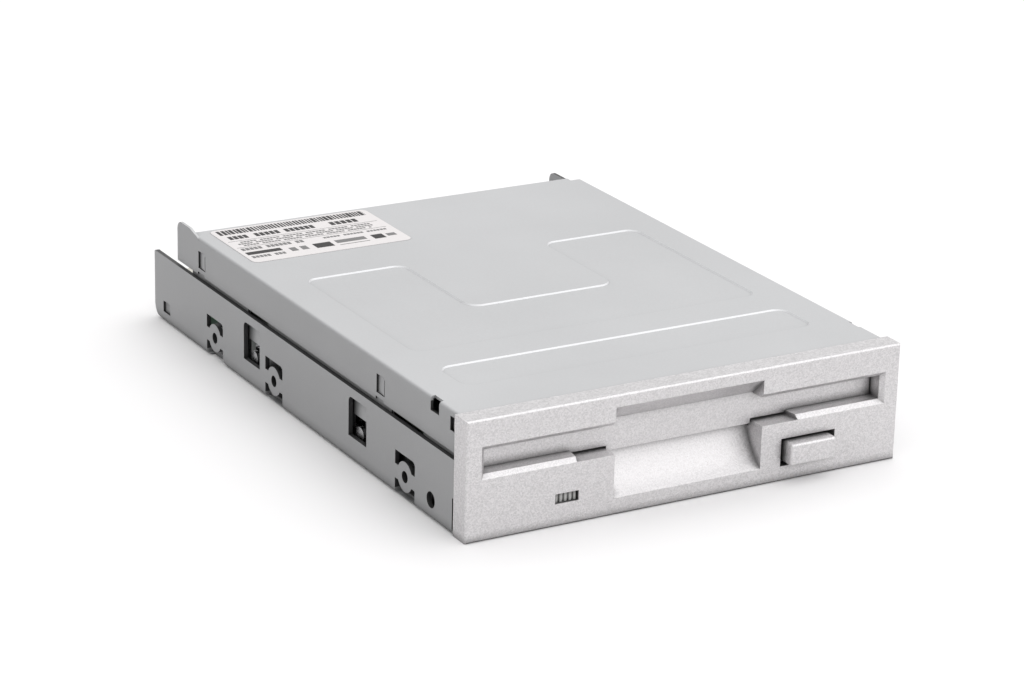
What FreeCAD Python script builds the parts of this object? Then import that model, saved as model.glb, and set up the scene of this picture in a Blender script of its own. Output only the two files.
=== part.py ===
import FreeCAD, Part
import math
import os
from types import SimpleNamespace

import Sketcher

# Half-height disk drive for 3.5 inch disks, in millimetres.
# While a piece is built, x runs to the right, y runs back from the front face of the bezel
# and z runs up from the underside. Each finished piece is then moved back by shift_y,
# so that the origin is at the middle of the underside and the front faces -y.

Vector = FreeCAD.Vector
Rotation = FreeCAD.Rotation
Placement = FreeCAD.Placement

DRIVING = {
    # Outer sizes
    "bezel_width": 101.6,
    "bezel_height": 25.4,
    "drive_length": 147.6,
    "button_proud": 2.8,
    # Front bezel
    "bezel_depth": 4.9,
    "bezel_wall": 2.2,
    "bezel_skirt": 1.4,
    "bezel_edge_radius": 0.45,
    "slot_side_wall": 4.3,
    "slot_low": 13.77,
    "slot_high": 18.85,
    "slot_chamfer": 0.9,
    "ledge_front_half": 26.0,
    "ledge_back_half": 25.2,
    "recess_half_width": 17.35,
    "recess_radius": 15.66,
    "recess_centre_y": -8.83,
    "recess_top": 11.4,
    "recess_back": 7.0,
    "notch_top": 22.83,
    "lamp_window_left": -30.7,
    "lamp_window_width": 5.3,
    "lamp_window_low": 4.75,
    "lamp_window_height": 2.1,
    "button_hole_left": 22.25,
    "button_hole_width": 13.1,
    "button_hole_low": 3.3,
    "button_hole_height": 6.0,
    "clip_thickness": 1.0,
    # Disk door
    "door_gap": 0.2,
    "door_thickness": 0.8,
    "door_front_y": 4.0,
    "door_low": 13.3,
    "door_tab_low": 12.25,
    "door_axis_y": 4.95,
    "door_axis_z": 19.6,
    "door_barrel_radius": 0.9,
    "door_pin_radius": 0.6,
    # Base frame, bent from one sheet
    "frame_sheet": 1.0,
    "frame_wall_height": 15.9,
    "frame_bend_radius": 1.2,
    "frame_joint_gap": 0.05,
    "frame_back_corner": 3.7,
    "frame_top_corner": 0.4,
    "frame_slit_width": 0.4,
    "frame_slit_top": 7.8,
    "mount_front_y": 25.0,
    "mount_pitch": 60.0,
    "mount_back_step": 30.0,
    "mount_height": 5.0,
    "mount_bore_radius": 1.25,
    "mount_ring_radius": 3.2,
    "mount_bridge_half": 1.55,
    "mount_cutout_half": 4.2,
    "mount_cutout_top": 9.5,
    "mount_cutout_low": 0.4,
    "mount_cutout_corner": 1.0,
    "mount_collar_radius": 2.2,
    "mount_collar_length": 1.0,
    "floor_mount_inset": 5.8,
    "floor_slot_inner": 8.0,
    "floor_slot_outer": 34.0,
    "floor_slot_front": 6.5,
    "floor_slot_back": 11.0,
    "window_width": 8.0,
    "window_low": 5.3,
    "window_high": 13.9,
    "window_corner": 1.2,
    "window_before_pin": 5.4,
    "sight_hole_radius": 1.7,
    "sight_hole_y": 14.06,
    "sight_hole_z": 4.2,
    "boss_radius": 2.5,
    "screw_shank_radius": 0.75,
    "screw_head_radius": 1.9,
    "screw_head_height": 1.2,
    "screw_clearance": 0.05,
    # Top cover
    "cover_sheet": 0.6,
    "cover_inset": 0.8,
    "cover_top": 25.2,
    "cover_low": 16.7,
    "cover_bend_radius": 0.8,
    "cover_plate_back": 129.0,
    "cover_left_back": 136.5,
    "cover_left_top": 26.1,
    "cover_right_back": 141.4,
    "cover_right_top": 23.2,
    "cover_right_relief": 1.7,
    "cover_ear_radius": 2.0,
    "emboss_depth": 0.3,
    "emboss_inset": 8.5,
    "emboss_front": 39.0,
    "emboss_back": 89.5,
    "emboss_notch_half": 17.4,
    "emboss_notch_front": 59.1,
    "emboss_corner": 3.0,
    "strip_front": 17.7,
    "strip_back": 29.7,
    "lance_width": 3.4,
    "lance_low": 18.4,
    "lance_high": 22.2,
    "lance_depth": 0.45,
    "lance_line": 0.18,
    "lance_line_depth": 0.3,
    "front_lance_y": 35.7,
    "back_lance_y": 121.8,
    "cover_tab_low": 14.2,
    "cover_tab_sheet": 0.6,
    "cover_tab_gap": 0.1,
    "cover_notch_front": 12.7,
    "cover_notch_width": 3.5,
    "cover_notch_low": 22.3,
    "clip_window_back": 8.1,
    "clip_window_low": 21.0,
    "clip_window_high": 23.9,
    "clip_nub_gap": 1.2,
    "clip_nub_sink": 0.25,
    # Label
    "label_inset": 3.7,
    "label_front": 104.0,
    "label_width": 38.9,
    "label_depth": 23.9,
    "label_corner": 1.5,
    "label_thickness": 0.1,
    # Eject slider, button and cams
    "slider_sheet": 0.8,
    "slider_wall_gap": 1.4,
    "slider_front": 12.0,
    "slider_back": 104.0,
    "slider_top": 18.0,
    "slider_floor_gap": 0.2,
    "slider_bar_depth": 8.0,
    "button_side_gap": 0.7,
    "button_width": 11.1,
    "button_low": 4.05,
    "button_height": 4.75,
    "button_cap_back": 5.0,
    "button_edge_radius": 0.6,
    "eject_travel": 4.0,
    "eject_overtravel": 0.5,
    "cam_slope": 0.7,
    "cam_pin_radius": 1.1,
    "cam_clearance": 0.15,
    "cam_pin_z": 5.9,
    "cam_pin_front_y": 47.2,
    "cam_pin_step": 50.2,
    "cam_pin_wall_gap": 0.3,
    "cam_pin_head_radius": 1.7,
    "cam_pin_head_gap": 0.25,
    "cam_pad_reach": 1.0,
    "cam_pad_low": 9.65,
    "cam_pad_top": 14.05,
    "spring_inset": 5.2,
    "spring_centre_z": 4.2,
    "spring_radius": 1.3,
    "spring_wire": 0.35,
    "spring_hook_y": 79.5,
    "spring_post_y": 52.0,
    # Disk holder
    "holder_sheet": 0.8,
    "holder_slider_gap": 0.68,
    "holder_front": 12.6,
    "holder_back": 102.0,
    "holder_floor": 14.0,
    "holder_clear_height": 4.3,
    "holder_lip": 5.0,
    "holder_leg_half": 2.6,
    "head_notch_half": 9.5,
    "head_notch_front": 66.0,
    "guide_post_inset": 7.0,
    "guide_post_y": 98.5,
    "guide_post_radius": 1.5,
    "guide_post_top": 20.6,
    "guide_gap": 0.1,
    "strip_inner": 27.0,
    "strip_outer": 33.0,
    "strip_start": 20.0,
    "strip_end": 60.0,
    "strip_thickness": 0.3,
    # Shutter lever on the holder
    "lever_pivot_inset": 9.0,
    "lever_pivot_y": 88.0,
    "lever_reach": 22.0,
    "lever_rest_turn": 25.0,
    "lever_travel": 48.0,
    "lever_sheet": 0.8,
    "lever_finger_radius": 1.2,
    "lever_slot_half": 2.0,
    "lever_pivot_radius": 1.0,
    # Spindle motor
    "spindle_y": 49.0,
    "board_low": 2.6,
    "board_sheet": 1.2,
    "motor_board_side_gap": 9.8,
    "motor_board_front": 22.0,
    "motor_board_back": 69.5,
    "board_screw_half": 22.5,
    "bearing_radius": 4.6,
    "bearing_flange_radius": 9.0,
    "stator_low": 4.6,
    "stator_sheet": 1.4,
    "stator_radius": 21.6,
    "rotor_radius": 25.0,
    "rotor_low": 4.2,
    "rotor_top": 7.8,
    "rotor_sheet": 0.8,
    "magnet_radius": 22.4,
    "hub_radius": 12.0,
    "hub_top": 11.2,
    "spindle_radius": 2.0,
    "spindle_top": 13.0,
    "running_gap": 0.03,
    "drive_pin_radius": 1.4,
    "drive_pin_offset": 9.2,
    # Disk switches
    "switch_half": 3.5,
    "switch_top": 10.2,
    "plunger_radius": 1.0,
    "plunger_top": 12.6,
    "plunger_travel": 1.2,
    "switch_y": 27.0,
    "switch_pitch": 4.6,
    # Head carriage and its drive
    "rail_z": 8.5,
    "rail_x": -11.0,
    "rail_radius": 1.5,
    "rail_front": 74.0,
    "rail_back": 126.0,
    "screw_x": 20.0,
    "screw_radius": 1.5,
    "screw_journal_radius": 1.0,
    "stepper_radius": 7.0,
    "stepper_front": 112.0,
    "stepper_length": 12.0,
    "stepper_rotor_radius": 4.4,
    "stepper_air_gap": 0.3,
    "track_zero_y": 88.5,
    "carriage_low": 6.8,
    "carriage_top": 10.2,
    "lower_head_top": 12.95,
    "head_gap": 0.2,
    "hinge_behind_head": 30.0,
    "hinge_z": 17.0,
    "hinge_pin_radius": 0.8,
    "hinge_clearance": 0.05,
    "arm_lift": 9.74,
    "lug_behind_head": 13.5,
    # Main board and its sockets
    "main_board_front": 102.0,
    "main_board_step": 127.0,
    "main_board_back": 146.5,
    "main_board_side_gap": 2.8,
    "main_board_inner": -17.0,
    "controller_left": -40.0,
    "controller_width": 12.0,
    "pin_pitch": 2.54,
    "pin_side": 0.64,
    "header_middle_x": 3.5,
    "header_height": 8.8,
    "socket_wall": 1.5,
    "socket_overhang": 0.5,
    "power_inset": 9.2,
    "power_pitch": 2.5,
    "power_pins": 4,
    "header_columns": 17,
    "header_rows": 2,
    "stator_poles": 12,
}


class Size:
    """A number in millimetres, kept together with the sheet expression that gives it."""

    def __init__(self, value, text):
        self.value = value
        self.text = text

    def __add__(self, other):
        other = as_size(other)
        return Size(self.value + other.value, f"({self.text} + {other.text})")

    def __sub__(self, other):
        other = as_size(other)
        return Size(self.value - other.value, f"({self.text} - {other.text})")

    def __mul__(self, other):
        other = as_size(other)
        return Size(self.value * other.value, f"({self.text} * {other.text})")

    def __truediv__(self, other):
        other = as_size(other)
        return Size(self.value / other.value, f"({self.text} / {other.text})")

    def __neg__(self):
        return self * -1

    def __radd__(self, other):
        return as_size(other) + self

    def __rsub__(self, other):
        return as_size(other) - self

    def __rmul__(self, other):
        return as_size(other) * self


def as_size(value):
    """The value itself where it is a Size, and else the plain number as one."""
    if isinstance(value, Size):
        return value
    return Size(float(value), f"({float(value)})")


def square_root(size):
    """The square root of a size, in Python and in the sheet."""
    return Size(math.sqrt(size.value), f"sqrt({size.text})")


doc = FreeCAD.newDocument("DiskDrive")
sheet = doc.addObject("Spreadsheet::Sheet", "sizes")
for row, (alias, number) in enumerate(DRIVING.items(), start=1):
    sheet.set(f"A{row}", str(number))
    sheet.setAlias(f"A{row}", alias)
doc.recompute()
mm = SimpleNamespace(**{alias: Size(float(number), f"sizes.{alias}") for alias, number in DRIVING.items()})

shift_y = (mm.button_proud - mm.drive_length) / 2
pieces = {}


def bind(thing, path, value):
    """Ties one property of an object to a size."""
    thing.setExpression(path, as_size(value).text)


def place(thing, x, y, z, turn=None):
    """Puts an object at a point, turned by a fixed rotation where one is given."""
    thing.Placement = Placement(Vector(), turn or Rotation())
    bind(thing, "Placement.Base.x", x)
    bind(thing, "Placement.Base.y", y)
    bind(thing, "Placement.Base.z", z)


def box(x, y, z):
    """A box from three pairs of low and high."""
    solid = doc.addObject("Part::Box", "Box")
    place(solid, x[0], y[0], z[0])
    bind(solid, "Length", as_size(x[1]) - x[0])
    bind(solid, "Width", as_size(y[1]) - y[0])
    bind(solid, "Height", as_size(z[1]) - z[0])
    return solid


def round_bar(radius, axis, centre, ends):
    """A cylinder along x, y or z. The centre is the pair of its other two coordinates."""
    solid = doc.addObject("Part::Cylinder", "Cylinder")
    bind(solid, "Radius", radius)
    bind(solid, "Height", as_size(ends[1]) - ends[0])
    if axis == "x":
        place(solid, ends[0], centre[0], centre[1], Rotation(Vector(0, 1, 0), 90))
    elif axis == "y":
        place(solid, centre[0], ends[0], centre[1], Rotation(Vector(1, 0, 0), -90))
    else:
        place(solid, centre[0], centre[1], ends[0])
    return solid


def ring(outer, inner, axis, centre, ends):
    """A tube: a cylinder with a bore right through it."""
    bore = round_bar(inner, axis, centre, (ends[0] - 1, ends[1] + 1))
    return cut(round_bar(outer, axis, centre, ends), bore)


def cut(base, *tools):
    """The base with every tool taken away."""
    solid = doc.addObject("Part::Cut", "Cut")
    solid.Base = base
    solid.Tool = tools[0] if len(tools) == 1 else fuse(*tools)
    solid.Refine = True
    return solid


def fuse(*shapes):
    """All the shapes as one solid."""
    solid = doc.addObject("Part::MultiFuse", "Fuse")
    solid.Shapes = list(shapes)
    solid.Refine = True
    return solid


def common(first, second):
    """What two shapes share."""
    solid = doc.addObject("Part::Common", "Common")
    solid.Base = first
    solid.Tool = second
    return solid


def group(*shapes):
    """Separate solids kept side by side."""
    compound = doc.addObject("Part::Compound", "Group")
    compound.Links = list(shapes)
    return compound


SKETCH_TURN = {
    "x": Rotation(Vector(1, 1, 1), 120),
    "y": Rotation(Vector(1, 0, 0), 90),
    "z": Rotation(),
}
AXIS_VECTOR = {"x": Vector(1, 0, 0), "y": Vector(0, 1, 0), "z": Vector(0, 0, 1)}


def draw_outline(sketch, corners):
    """Draws a closed outline in a sketch and ties each corner to its two sizes."""
    corners = [(as_size(u), as_size(v)) for u, v in corners]
    count = len(corners)
    for index, (u, v) in enumerate(corners):
        next_u, next_v = corners[(index + 1) % count]
        line = Part.LineSegment(Vector(u.value, v.value, 0), Vector(next_u.value, next_v.value, 0))
        sketch.addGeometry(line, False)
    for index in range(count):
        sketch.addConstraint(Sketcher.Constraint("Coincident", index, 2, (index + 1) % count, 1))
    for index, (u, v) in enumerate(corners):
        for kind, size in (("DistanceX", u), ("DistanceY", v)):
            number = sketch.addConstraint(Sketcher.Constraint(kind, -1, 1, index, 1, size.value))
            sketch.setExpression(f"Constraints[{number}]", size.text)


def prism(axis, corners, ends):
    """An outline pushed along an axis. Corners are (y, z) on x, (x, z) on y and (x, y) on z."""
    sketch = doc.addObject("Sketcher::SketchObject", "Outline")
    sketch.Placement = Placement(Vector(), SKETCH_TURN[axis])
    bind(sketch, f"Placement.Base.{axis}", ends[0])
    draw_outline(sketch, corners)
    solid = doc.addObject("Part::Extrusion", "Prism")
    solid.Base = sketch
    solid.DirMode = "Custom"
    solid.Dir = AXIS_VECTOR[axis]
    bind(solid, "LengthFwd", as_size(ends[1]) - ends[0])
    solid.Solid = True
    return solid


def edge_numbers(shape, wanted):
    """The numbers of the edges whose middle and direction answer a test."""
    numbers = []
    for number, edge in enumerate(shape.Edges, start=1):
        first = edge.Vertexes[0].Point
        last = edge.Vertexes[-1].Point
        middle = (first + last) * 0.5
        if wanted(middle, last - first):
            numbers.append(number)
    return numbers


def rounded(solid, radius, wanted, kind="Part::Fillet"):
    """Rounds, or chamfers, the edges that answer a test."""
    doc.recompute()
    result = doc.addObject(kind, "Edges")
    result.Base = solid
    result.Edges = [(number, radius.value, radius.value) for number in edge_numbers(solid.Shape, wanted)]
    return result


def along(axis):
    """A test for edges parallel to an axis."""
    index = "xyz".index(axis)

    def answers(middle, direction):
        return abs(direction[index]) > 0.99 * direction.Length > 0

    return answers


def node(name, thing):
    """Names a finished piece and moves it back to the frame's own origin."""
    if not thing.isDerivedFrom("PartDesign::Body") and thing.TypeId != "Part::Compound":
        thing = group(thing)
    thing.Label = name
    bind(thing, "Placement.Base.y", shift_y)
    pieces[name] = thing
    return thing


def turned_node(name, thing, x, y, z, axis, angle):
    """Names a piece that was built about a pivot, and sets it down there at an angle."""
    thing = group(thing)
    thing.Label = name
    place(thing, x, y + shift_y, z, Rotation(AXIS_VECTOR[axis], angle))
    pieces[name] = thing
    return thing


def about(middle, half):
    """The pair of low and high on both sides of a middle."""
    return (middle - half, middle + half)


def across(side, inner, outer):
    """The pair of low and high x between two distances from the middle, on one side."""
    return (as_size(inner), as_size(outer)) if side > 0 else (-as_size(outer), -as_size(inner))


BOTH_SIDES = (-1, 1)


def body_plane(body, role):
    """One origin plane of a body."""
    return [plane for plane in body.Origin.OriginFeatures if plane.Role == role][0]


def turned_body(name, corners, x, y):
    """A body turned about a vertical axis from an outline of (radius, height) corners."""
    body = doc.addObject("PartDesign::Body", name)
    sketch = body.newObject("Sketcher::SketchObject", name + "_outline")
    sketch.AttachmentSupport = [(body_plane(body, "XZ_Plane"), "")]
    sketch.MapMode = "FlatFace"
    draw_outline(sketch, corners)
    turn = body.newObject("PartDesign::Revolution", name + "_turn")
    turn.Profile = sketch
    turn.ReferenceAxis = (sketch, ["V_Axis"])
    turn.Angle = 360
    body.Tip = turn
    body.Label = name
    bind(body, "Placement.Base.x", x)
    bind(body, "Placement.Base.y", y + shift_y)
    pieces[name] = body
    return body


def padded_body(name, plane, corners, start, length):
    """A body pushed up from an outline on one of its origin planes."""
    body = doc.addObject("PartDesign::Body", name)
    sketch = body.newObject("Sketcher::SketchObject", name + "_outline")
    sketch.AttachmentSupport = [(body_plane(body, plane), "")]
    sketch.MapMode = "FlatFace"
    bind(sketch, "AttachmentOffset.Base.z", start)
    draw_outline(sketch, corners)
    pad = body.newObject("PartDesign::Pad", name + "_pad")
    pad.Profile = sketch
    bind(pad, "Length", length)
    body.Tip = pad
    body.Label = name
    bind(body, "Placement.Base.y", shift_y)
    pieces[name] = body
    return body


# Places that several pieces share
half_width = mm.bezel_width / 2
frame_inner = half_width - mm.frame_sheet
frame_front = mm.bezel_depth + mm.frame_joint_gap
floor_top = mm.frame_sheet
mount_places = (mm.mount_front_y, mm.mount_front_y + mm.mount_pitch,
                mm.mount_front_y + mm.mount_pitch + mm.mount_back_step)
cam_pin_places = (mm.cam_pin_front_y, mm.cam_pin_front_y + mm.cam_pin_step)
board_top = mm.board_low + mm.board_sheet
screw_hole_radius = mm.screw_shank_radius + mm.screw_clearance
slider_half = frame_inner - mm.slider_wall_gap
slider_inner_half = slider_half - mm.slider_sheet * 0.9
holder_half = slider_inner_half - mm.holder_slider_gap
cam_pin_reach = frame_inner - mm.cam_pin_wall_gap
spring_half = slider_half - mm.spring_inset
lever_pivot_x = holder_half - mm.lever_pivot_inset
cover_half = half_width - mm.cover_inset
slot_half = half_width - mm.slot_side_wall
label_left = mm.label_inset - cover_half
motor_board_half = frame_inner - mm.motor_board_side_gap
main_board_half = frame_inner - mm.main_board_side_gap
power_middle_x = mm.power_inset - main_board_half
slider_low = floor_top + mm.slider_floor_gap
holder_low = mm.holder_floor - mm.holder_sheet
holder_under_plate = mm.holder_floor + mm.holder_clear_height
holder_top = holder_under_plate + mm.holder_sheet
holder_inner_half = holder_half - mm.holder_sheet
hinge_y = mm.track_zero_y + mm.hinge_behind_head
stepper_back = mm.stepper_front + mm.stepper_length
motor_board_screws = [(side * mm.board_screw_half, mm.motor_board_front + step)
                      for side in BOTH_SIDES for step in (3, 44)]
main_board_screws = [
    (4 - main_board_half, mm.main_board_front + 4),
    (main_board_half - 5, mm.main_board_step + 5),
    (power_middle_x + 12.3, mm.main_board_step + 6.5),
]
bracket_screws = [(mm.screw_x + offset, mm.stepper_front - 5) for offset in (-5, 5)]


def upper_edge(end, middle_y):
    """Picks the upper edge across a wall opening, at its front or at its back."""
    across_wall = along("x")
    return lambda middle, way: (across_wall(middle, way) and middle.z > DRIVING["mount_height"] + 1
                                and (middle.y < middle_y - 1 if end == "front" else middle.y > middle_y + 1))


def build_main_frame():
    """Floor and two side walls bent from one sheet, with every hole that fixes or shows something."""
    length = (frame_front, mm.drive_length)
    low_edges = along("y")
    outer = rounded(box((-half_width, half_width), length, (0, mm.frame_wall_height)), mm.frame_bend_radius,
                    lambda middle, way: low_edges(middle, way) and middle.z < 0.1)
    inner = rounded(box((-frame_inner, frame_inner), (frame_front - 1, mm.drive_length + 1),
                        (floor_top, mm.frame_wall_height + 5)), mm.frame_bend_radius - mm.frame_sheet * 0.6,
                    lambda middle, way: low_edges(middle, way) and middle.z < DRIVING["frame_sheet"] + 0.1)
    corner = mm.frame_back_corner
    back_corner = cut(box((-half_width - 1, half_width + 1), (mm.drive_length - corner, mm.drive_length + 1),
                          (-1, corner)),
                      round_bar(corner, "x", (mm.drive_length - corner, corner),
                                (-half_width - 2, half_width + 2)))
    tip = mm.frame_top_corner
    top_corner = cut(box((-half_width - 1, half_width + 1), (mm.drive_length - tip, mm.drive_length + 1),
                         (mm.frame_wall_height - tip, mm.frame_wall_height + 1)),
                     round_bar(tip, "x", (mm.drive_length - tip, mm.frame_wall_height - tip),
                               (-half_width - 2, half_width + 2)))
    removed = [inner, back_corner, top_corner]
    added = []
    bores = []
    for side in BOTH_SIDES:
        wall = across(side, frame_inner - 0.5, half_width + 0.5)
        removed.append(box(wall, (frame_front - 1, frame_front + mm.frame_slit_width),
                           (mm.frame_sheet, mm.frame_slit_top)))
        for y in mount_places:
            opening = box(wall, about(y, mm.mount_cutout_half), (mm.mount_cutout_low, mm.mount_cutout_top))
            removed.append(rounded(opening, mm.mount_cutout_corner, upper_edge("front", y.value)))
            added.append(box(across(side, frame_inner, half_width), about(y, mm.mount_cutout_half),
                             about(mm.mount_height, mm.mount_bridge_half)))
            added.append(round_bar(mm.mount_ring_radius, "x", (y, mm.mount_height),
                                   across(side, frame_inner, half_width)))
            added.append(round_bar(mm.mount_collar_radius, "x", (y, mm.mount_height),
                                   across(side, frame_inner - mm.mount_collar_length, frame_inner)))
            bores.append(round_bar(mm.mount_bore_radius, "x", (y, mm.mount_height),
                                   across(side, frame_inner - 3, half_width + 1)))
        for pin_y in cam_pin_places:
            front = pin_y - mm.window_before_pin
            window = box(wall, (front, front + mm.window_width), (mm.window_low, mm.window_high))
            removed.append(rounded(window, mm.window_corner, upper_edge("back", pin_y.value)))
        removed.append(round_bar(mm.sight_hole_radius, "x", (mm.sight_hole_y, mm.sight_hole_z), wall))
        removed.append(box(across(side, half_width - 0.5, half_width + 1),
                           about(mm.drive_length - 6.55, 1.85), (2.5, 5.1)))
        added.append(box(across(side, frame_inner - 0.5, frame_inner),
                         about(mm.drive_length - 6.55, 1.85), (2.5, 5.1)))
        edge = across(side, half_width - 1.5, half_width + 1)
        for low, high in ((mount_places[2] - 5.7, mount_places[2] + 3.2),
                          (mount_places[1] + 3.3, mount_places[1] + 13.7),
                          (mm.cam_pin_front_y - 1.3, mm.cam_pin_front_y + 4.5),
                          (mm.cam_pin_front_y - 5.8, mm.cam_pin_front_y - 4.8),
                          (mm.cam_pin_front_y - 13.3, mm.cam_pin_front_y - 12.3)):
            removed.append(box(edge, (low, high), (-1, 0.6)))
        for y in mount_places[:2]:
            place_xy = (side * (half_width - mm.floor_mount_inset), y)
            added.append(round_bar(mm.mount_collar_radius, "z", place_xy,
                                   (floor_top, floor_top + mm.mount_collar_length)))
            bores.append(round_bar(mm.mount_bore_radius, "z", place_xy, (-1, floor_top + 3)))
        post_x = across(side, spring_half - 1.6, spring_half + 1.6)
        added.append(box(post_x, (mm.spring_post_y, mm.spring_post_y + 1.2), (floor_top, 6.0)))
        floor_slot = box(across(side, mm.floor_slot_inner, mm.floor_slot_outer),
                         (mm.floor_slot_front, mm.floor_slot_back), (-1, floor_top + 1))
        removed.append(rounded(floor_slot, as_size(1.5), along("z")))
    removed.append(round_bar(mm.bearing_flange_radius, "z", (0, mm.spindle_y), (-1, floor_top + 1)))
    removed.append(rounded(box((-7, 3), (mm.track_zero_y - 8, mm.track_zero_y + 22), (-1, floor_top + 1)),
                           as_size(2), along("z")))
    for x, y in motor_board_screws + main_board_screws:
        added.append(round_bar(mm.boss_radius, "z", (x, y), (floor_top, mm.board_low)))
        bores.append(round_bar(screw_hole_radius, "z", (x, y), (-1, mm.board_low + 1)))
    for x, y in bracket_screws:
        bores.append(round_bar(screw_hole_radius, "z", (x, y), (-1, floor_top + 1)))
    shell = cut(outer, *removed)
    node("main_frame", cut(fuse(shell, *added), *bores))


def rounded_prism(corners, ends, radius):
    """A prism on z with all its upright edges rounded."""
    return rounded(prism("z", corners, ends), radius, along("z"))


def emboss_corners(grow):
    """The U-shaped sunken field of the cover, grown by an amount."""
    wide = (cover_half - mm.emboss_inset) + grow
    notch = mm.emboss_notch_half - grow
    front = mm.emboss_front - grow
    back = mm.emboss_back + grow
    notch_front = mm.emboss_notch_front + grow
    return [(-wide, front), (wide, front), (wide, back), (notch, back), (notch, notch_front),
            (-notch, notch_front), (-notch, back), (-wide, back)]


def strip_corners(grow):
    """The long sunken field near the front, grown by an amount."""
    wide = (cover_half - mm.emboss_inset) + grow
    front = mm.strip_front - grow
    back = mm.strip_back + grow
    return [(-wide, front), (wide, front), (wide, back), (-wide, back)]


def build_top_cover():
    """Lid with side flanges, pressed fields, lances, and ears that stand up behind the plate."""
    wide = cover_half
    sheet_gauge = mm.cover_sheet
    inside = wide - sheet_gauge
    under = mm.cover_top - sheet_gauge
    length = (frame_front, mm.cover_plate_back)
    level = along("y")
    outer = rounded(box((-wide, wide), length, (mm.cover_low, mm.cover_top)), mm.cover_bend_radius,
                    lambda middle, way: level(middle, way) and middle.z > DRIVING["cover_top"] - 0.1)
    inner = box((-inside, inside), (frame_front - 1, mm.cover_plate_back + 1), (mm.cover_low - 1, under))
    added = []
    plate_back = mm.cover_plate_back
    removed = [box((wide - 3, wide + 1), (plate_back - mm.cover_right_relief, plate_back + 1),
                   (mm.cover_right_top, mm.cover_top + 1))]
    left_ear = [(plate_back - 4, mm.cover_low), (mm.cover_left_back, mm.cover_low),
                (mm.cover_left_back, mm.cover_left_top), (plate_back + 1, mm.cover_left_top),
                (plate_back - 3.4, mm.cover_top - 0.1), (plate_back - 4, mm.cover_top - 1)]
    right_ear = [(plate_back - 4, mm.cover_low), (mm.cover_right_back, mm.cover_low),
                 (mm.cover_right_back, mm.cover_right_top), (plate_back - 4, mm.cover_right_top)]
    for side, ear_corners in zip(BOTH_SIDES, (left_ear, right_ear)):
        ear = prism("x", ear_corners, across(side, inside, wide))
        added.append(rounded(ear, mm.cover_ear_radius,
                             lambda middle, way: abs(way.x) > 0.3
                             and middle.z > DRIVING["cover_right_top"] - 0.1
                             and middle.y > DRIVING["cover_plate_back"] + 5))
        tab_outer = frame_inner - mm.cover_tab_gap
        for low, high in ((frame_front + 0.5, mm.front_lance_y - 16.3),
                          (mm.front_lance_y - 2.7, mount_places[1] + 5),
                          (mount_places[1] + 15, mm.cover_plate_back)):
            added.append(box(across(side, tab_outer - mm.cover_tab_sheet, tab_outer), (low, high),
                             (mm.cover_tab_low, mm.cover_low + 1)))
        for y in (mm.front_lance_y, mm.back_lance_y):
            outside = side * wide
            deep = side * (wide - mm.lance_depth)
            past = side * (wide + 0.2)
            removed.append(prism("z", [(past, y), (past, y + mm.lance_width), (deep, y + mm.lance_width),
                                       (outside, y)], (mm.lance_low, mm.lance_high)))
            line_x = across(side, wide - mm.lance_line_depth, wide + 1)
            removed.append(box(line_x, (y - mm.lance_line, y + mm.lance_width),
                               (mm.lance_low - mm.lance_line, mm.lance_low)))
            removed.append(box(line_x, (y - mm.lance_line, y), (mm.lance_low, mm.lance_high - 0.4)))
            inner_deep = side * (inside - mm.lance_depth)
            inner_flush = side * (inside + 0.1)
            added.append(prism("z", [(inner_flush, y), (inner_flush, y + mm.lance_width),
                                     (inner_deep, y + mm.lance_width)], (mm.lance_low, mm.lance_high)))
            removed.append(box(across(side, wide - 0.3, wide + 1), (y + 0.3, y + mm.lance_width + 0.3),
                               (mm.cover_low - 1, mm.cover_low + 0.6)))
        removed.append(box(across(side, wide - 1, wide + 1),
                           (mm.cover_notch_front, mm.cover_notch_front + mm.cover_notch_width),
                           (mm.cover_notch_low, mm.cover_top + 1)))
        removed.append(box(across(side, inside - 1, wide + 1), (frame_front - 1, mm.clip_window_back),
                           (mm.clip_window_low, mm.clip_window_high)))
    sunken_top = mm.cover_top - mm.emboss_depth
    for corners in (emboss_corners, strip_corners):
        pocket = rounded_prism(corners(as_size(0)), (sunken_top, mm.cover_top + 1), mm.emboss_corner)
        removed.append(rounded(pocket, mm.emboss_depth,
                               lambda middle, way: middle.z < DRIVING["cover_top"] - 0.2
                               and abs(way.z) < 0.01, "Part::Chamfer"))
        added.append(rounded_prism(corners(mm.emboss_depth), (under - mm.emboss_depth, under),
                                   mm.emboss_corner))
    shell = fuse(cut(outer, inner), *added)
    node("top_cover", cut(shell, *removed))


def build_label():
    """Plain label on the cover, near its back left corner."""
    plate = rounded(box((label_left, label_left + mm.label_width),
                        (mm.label_front, mm.label_front + mm.label_depth),
                        (mm.cover_top, mm.cover_top + mm.label_thickness)), mm.label_corner, along("z"))
    node("rating_label", plate)


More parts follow.
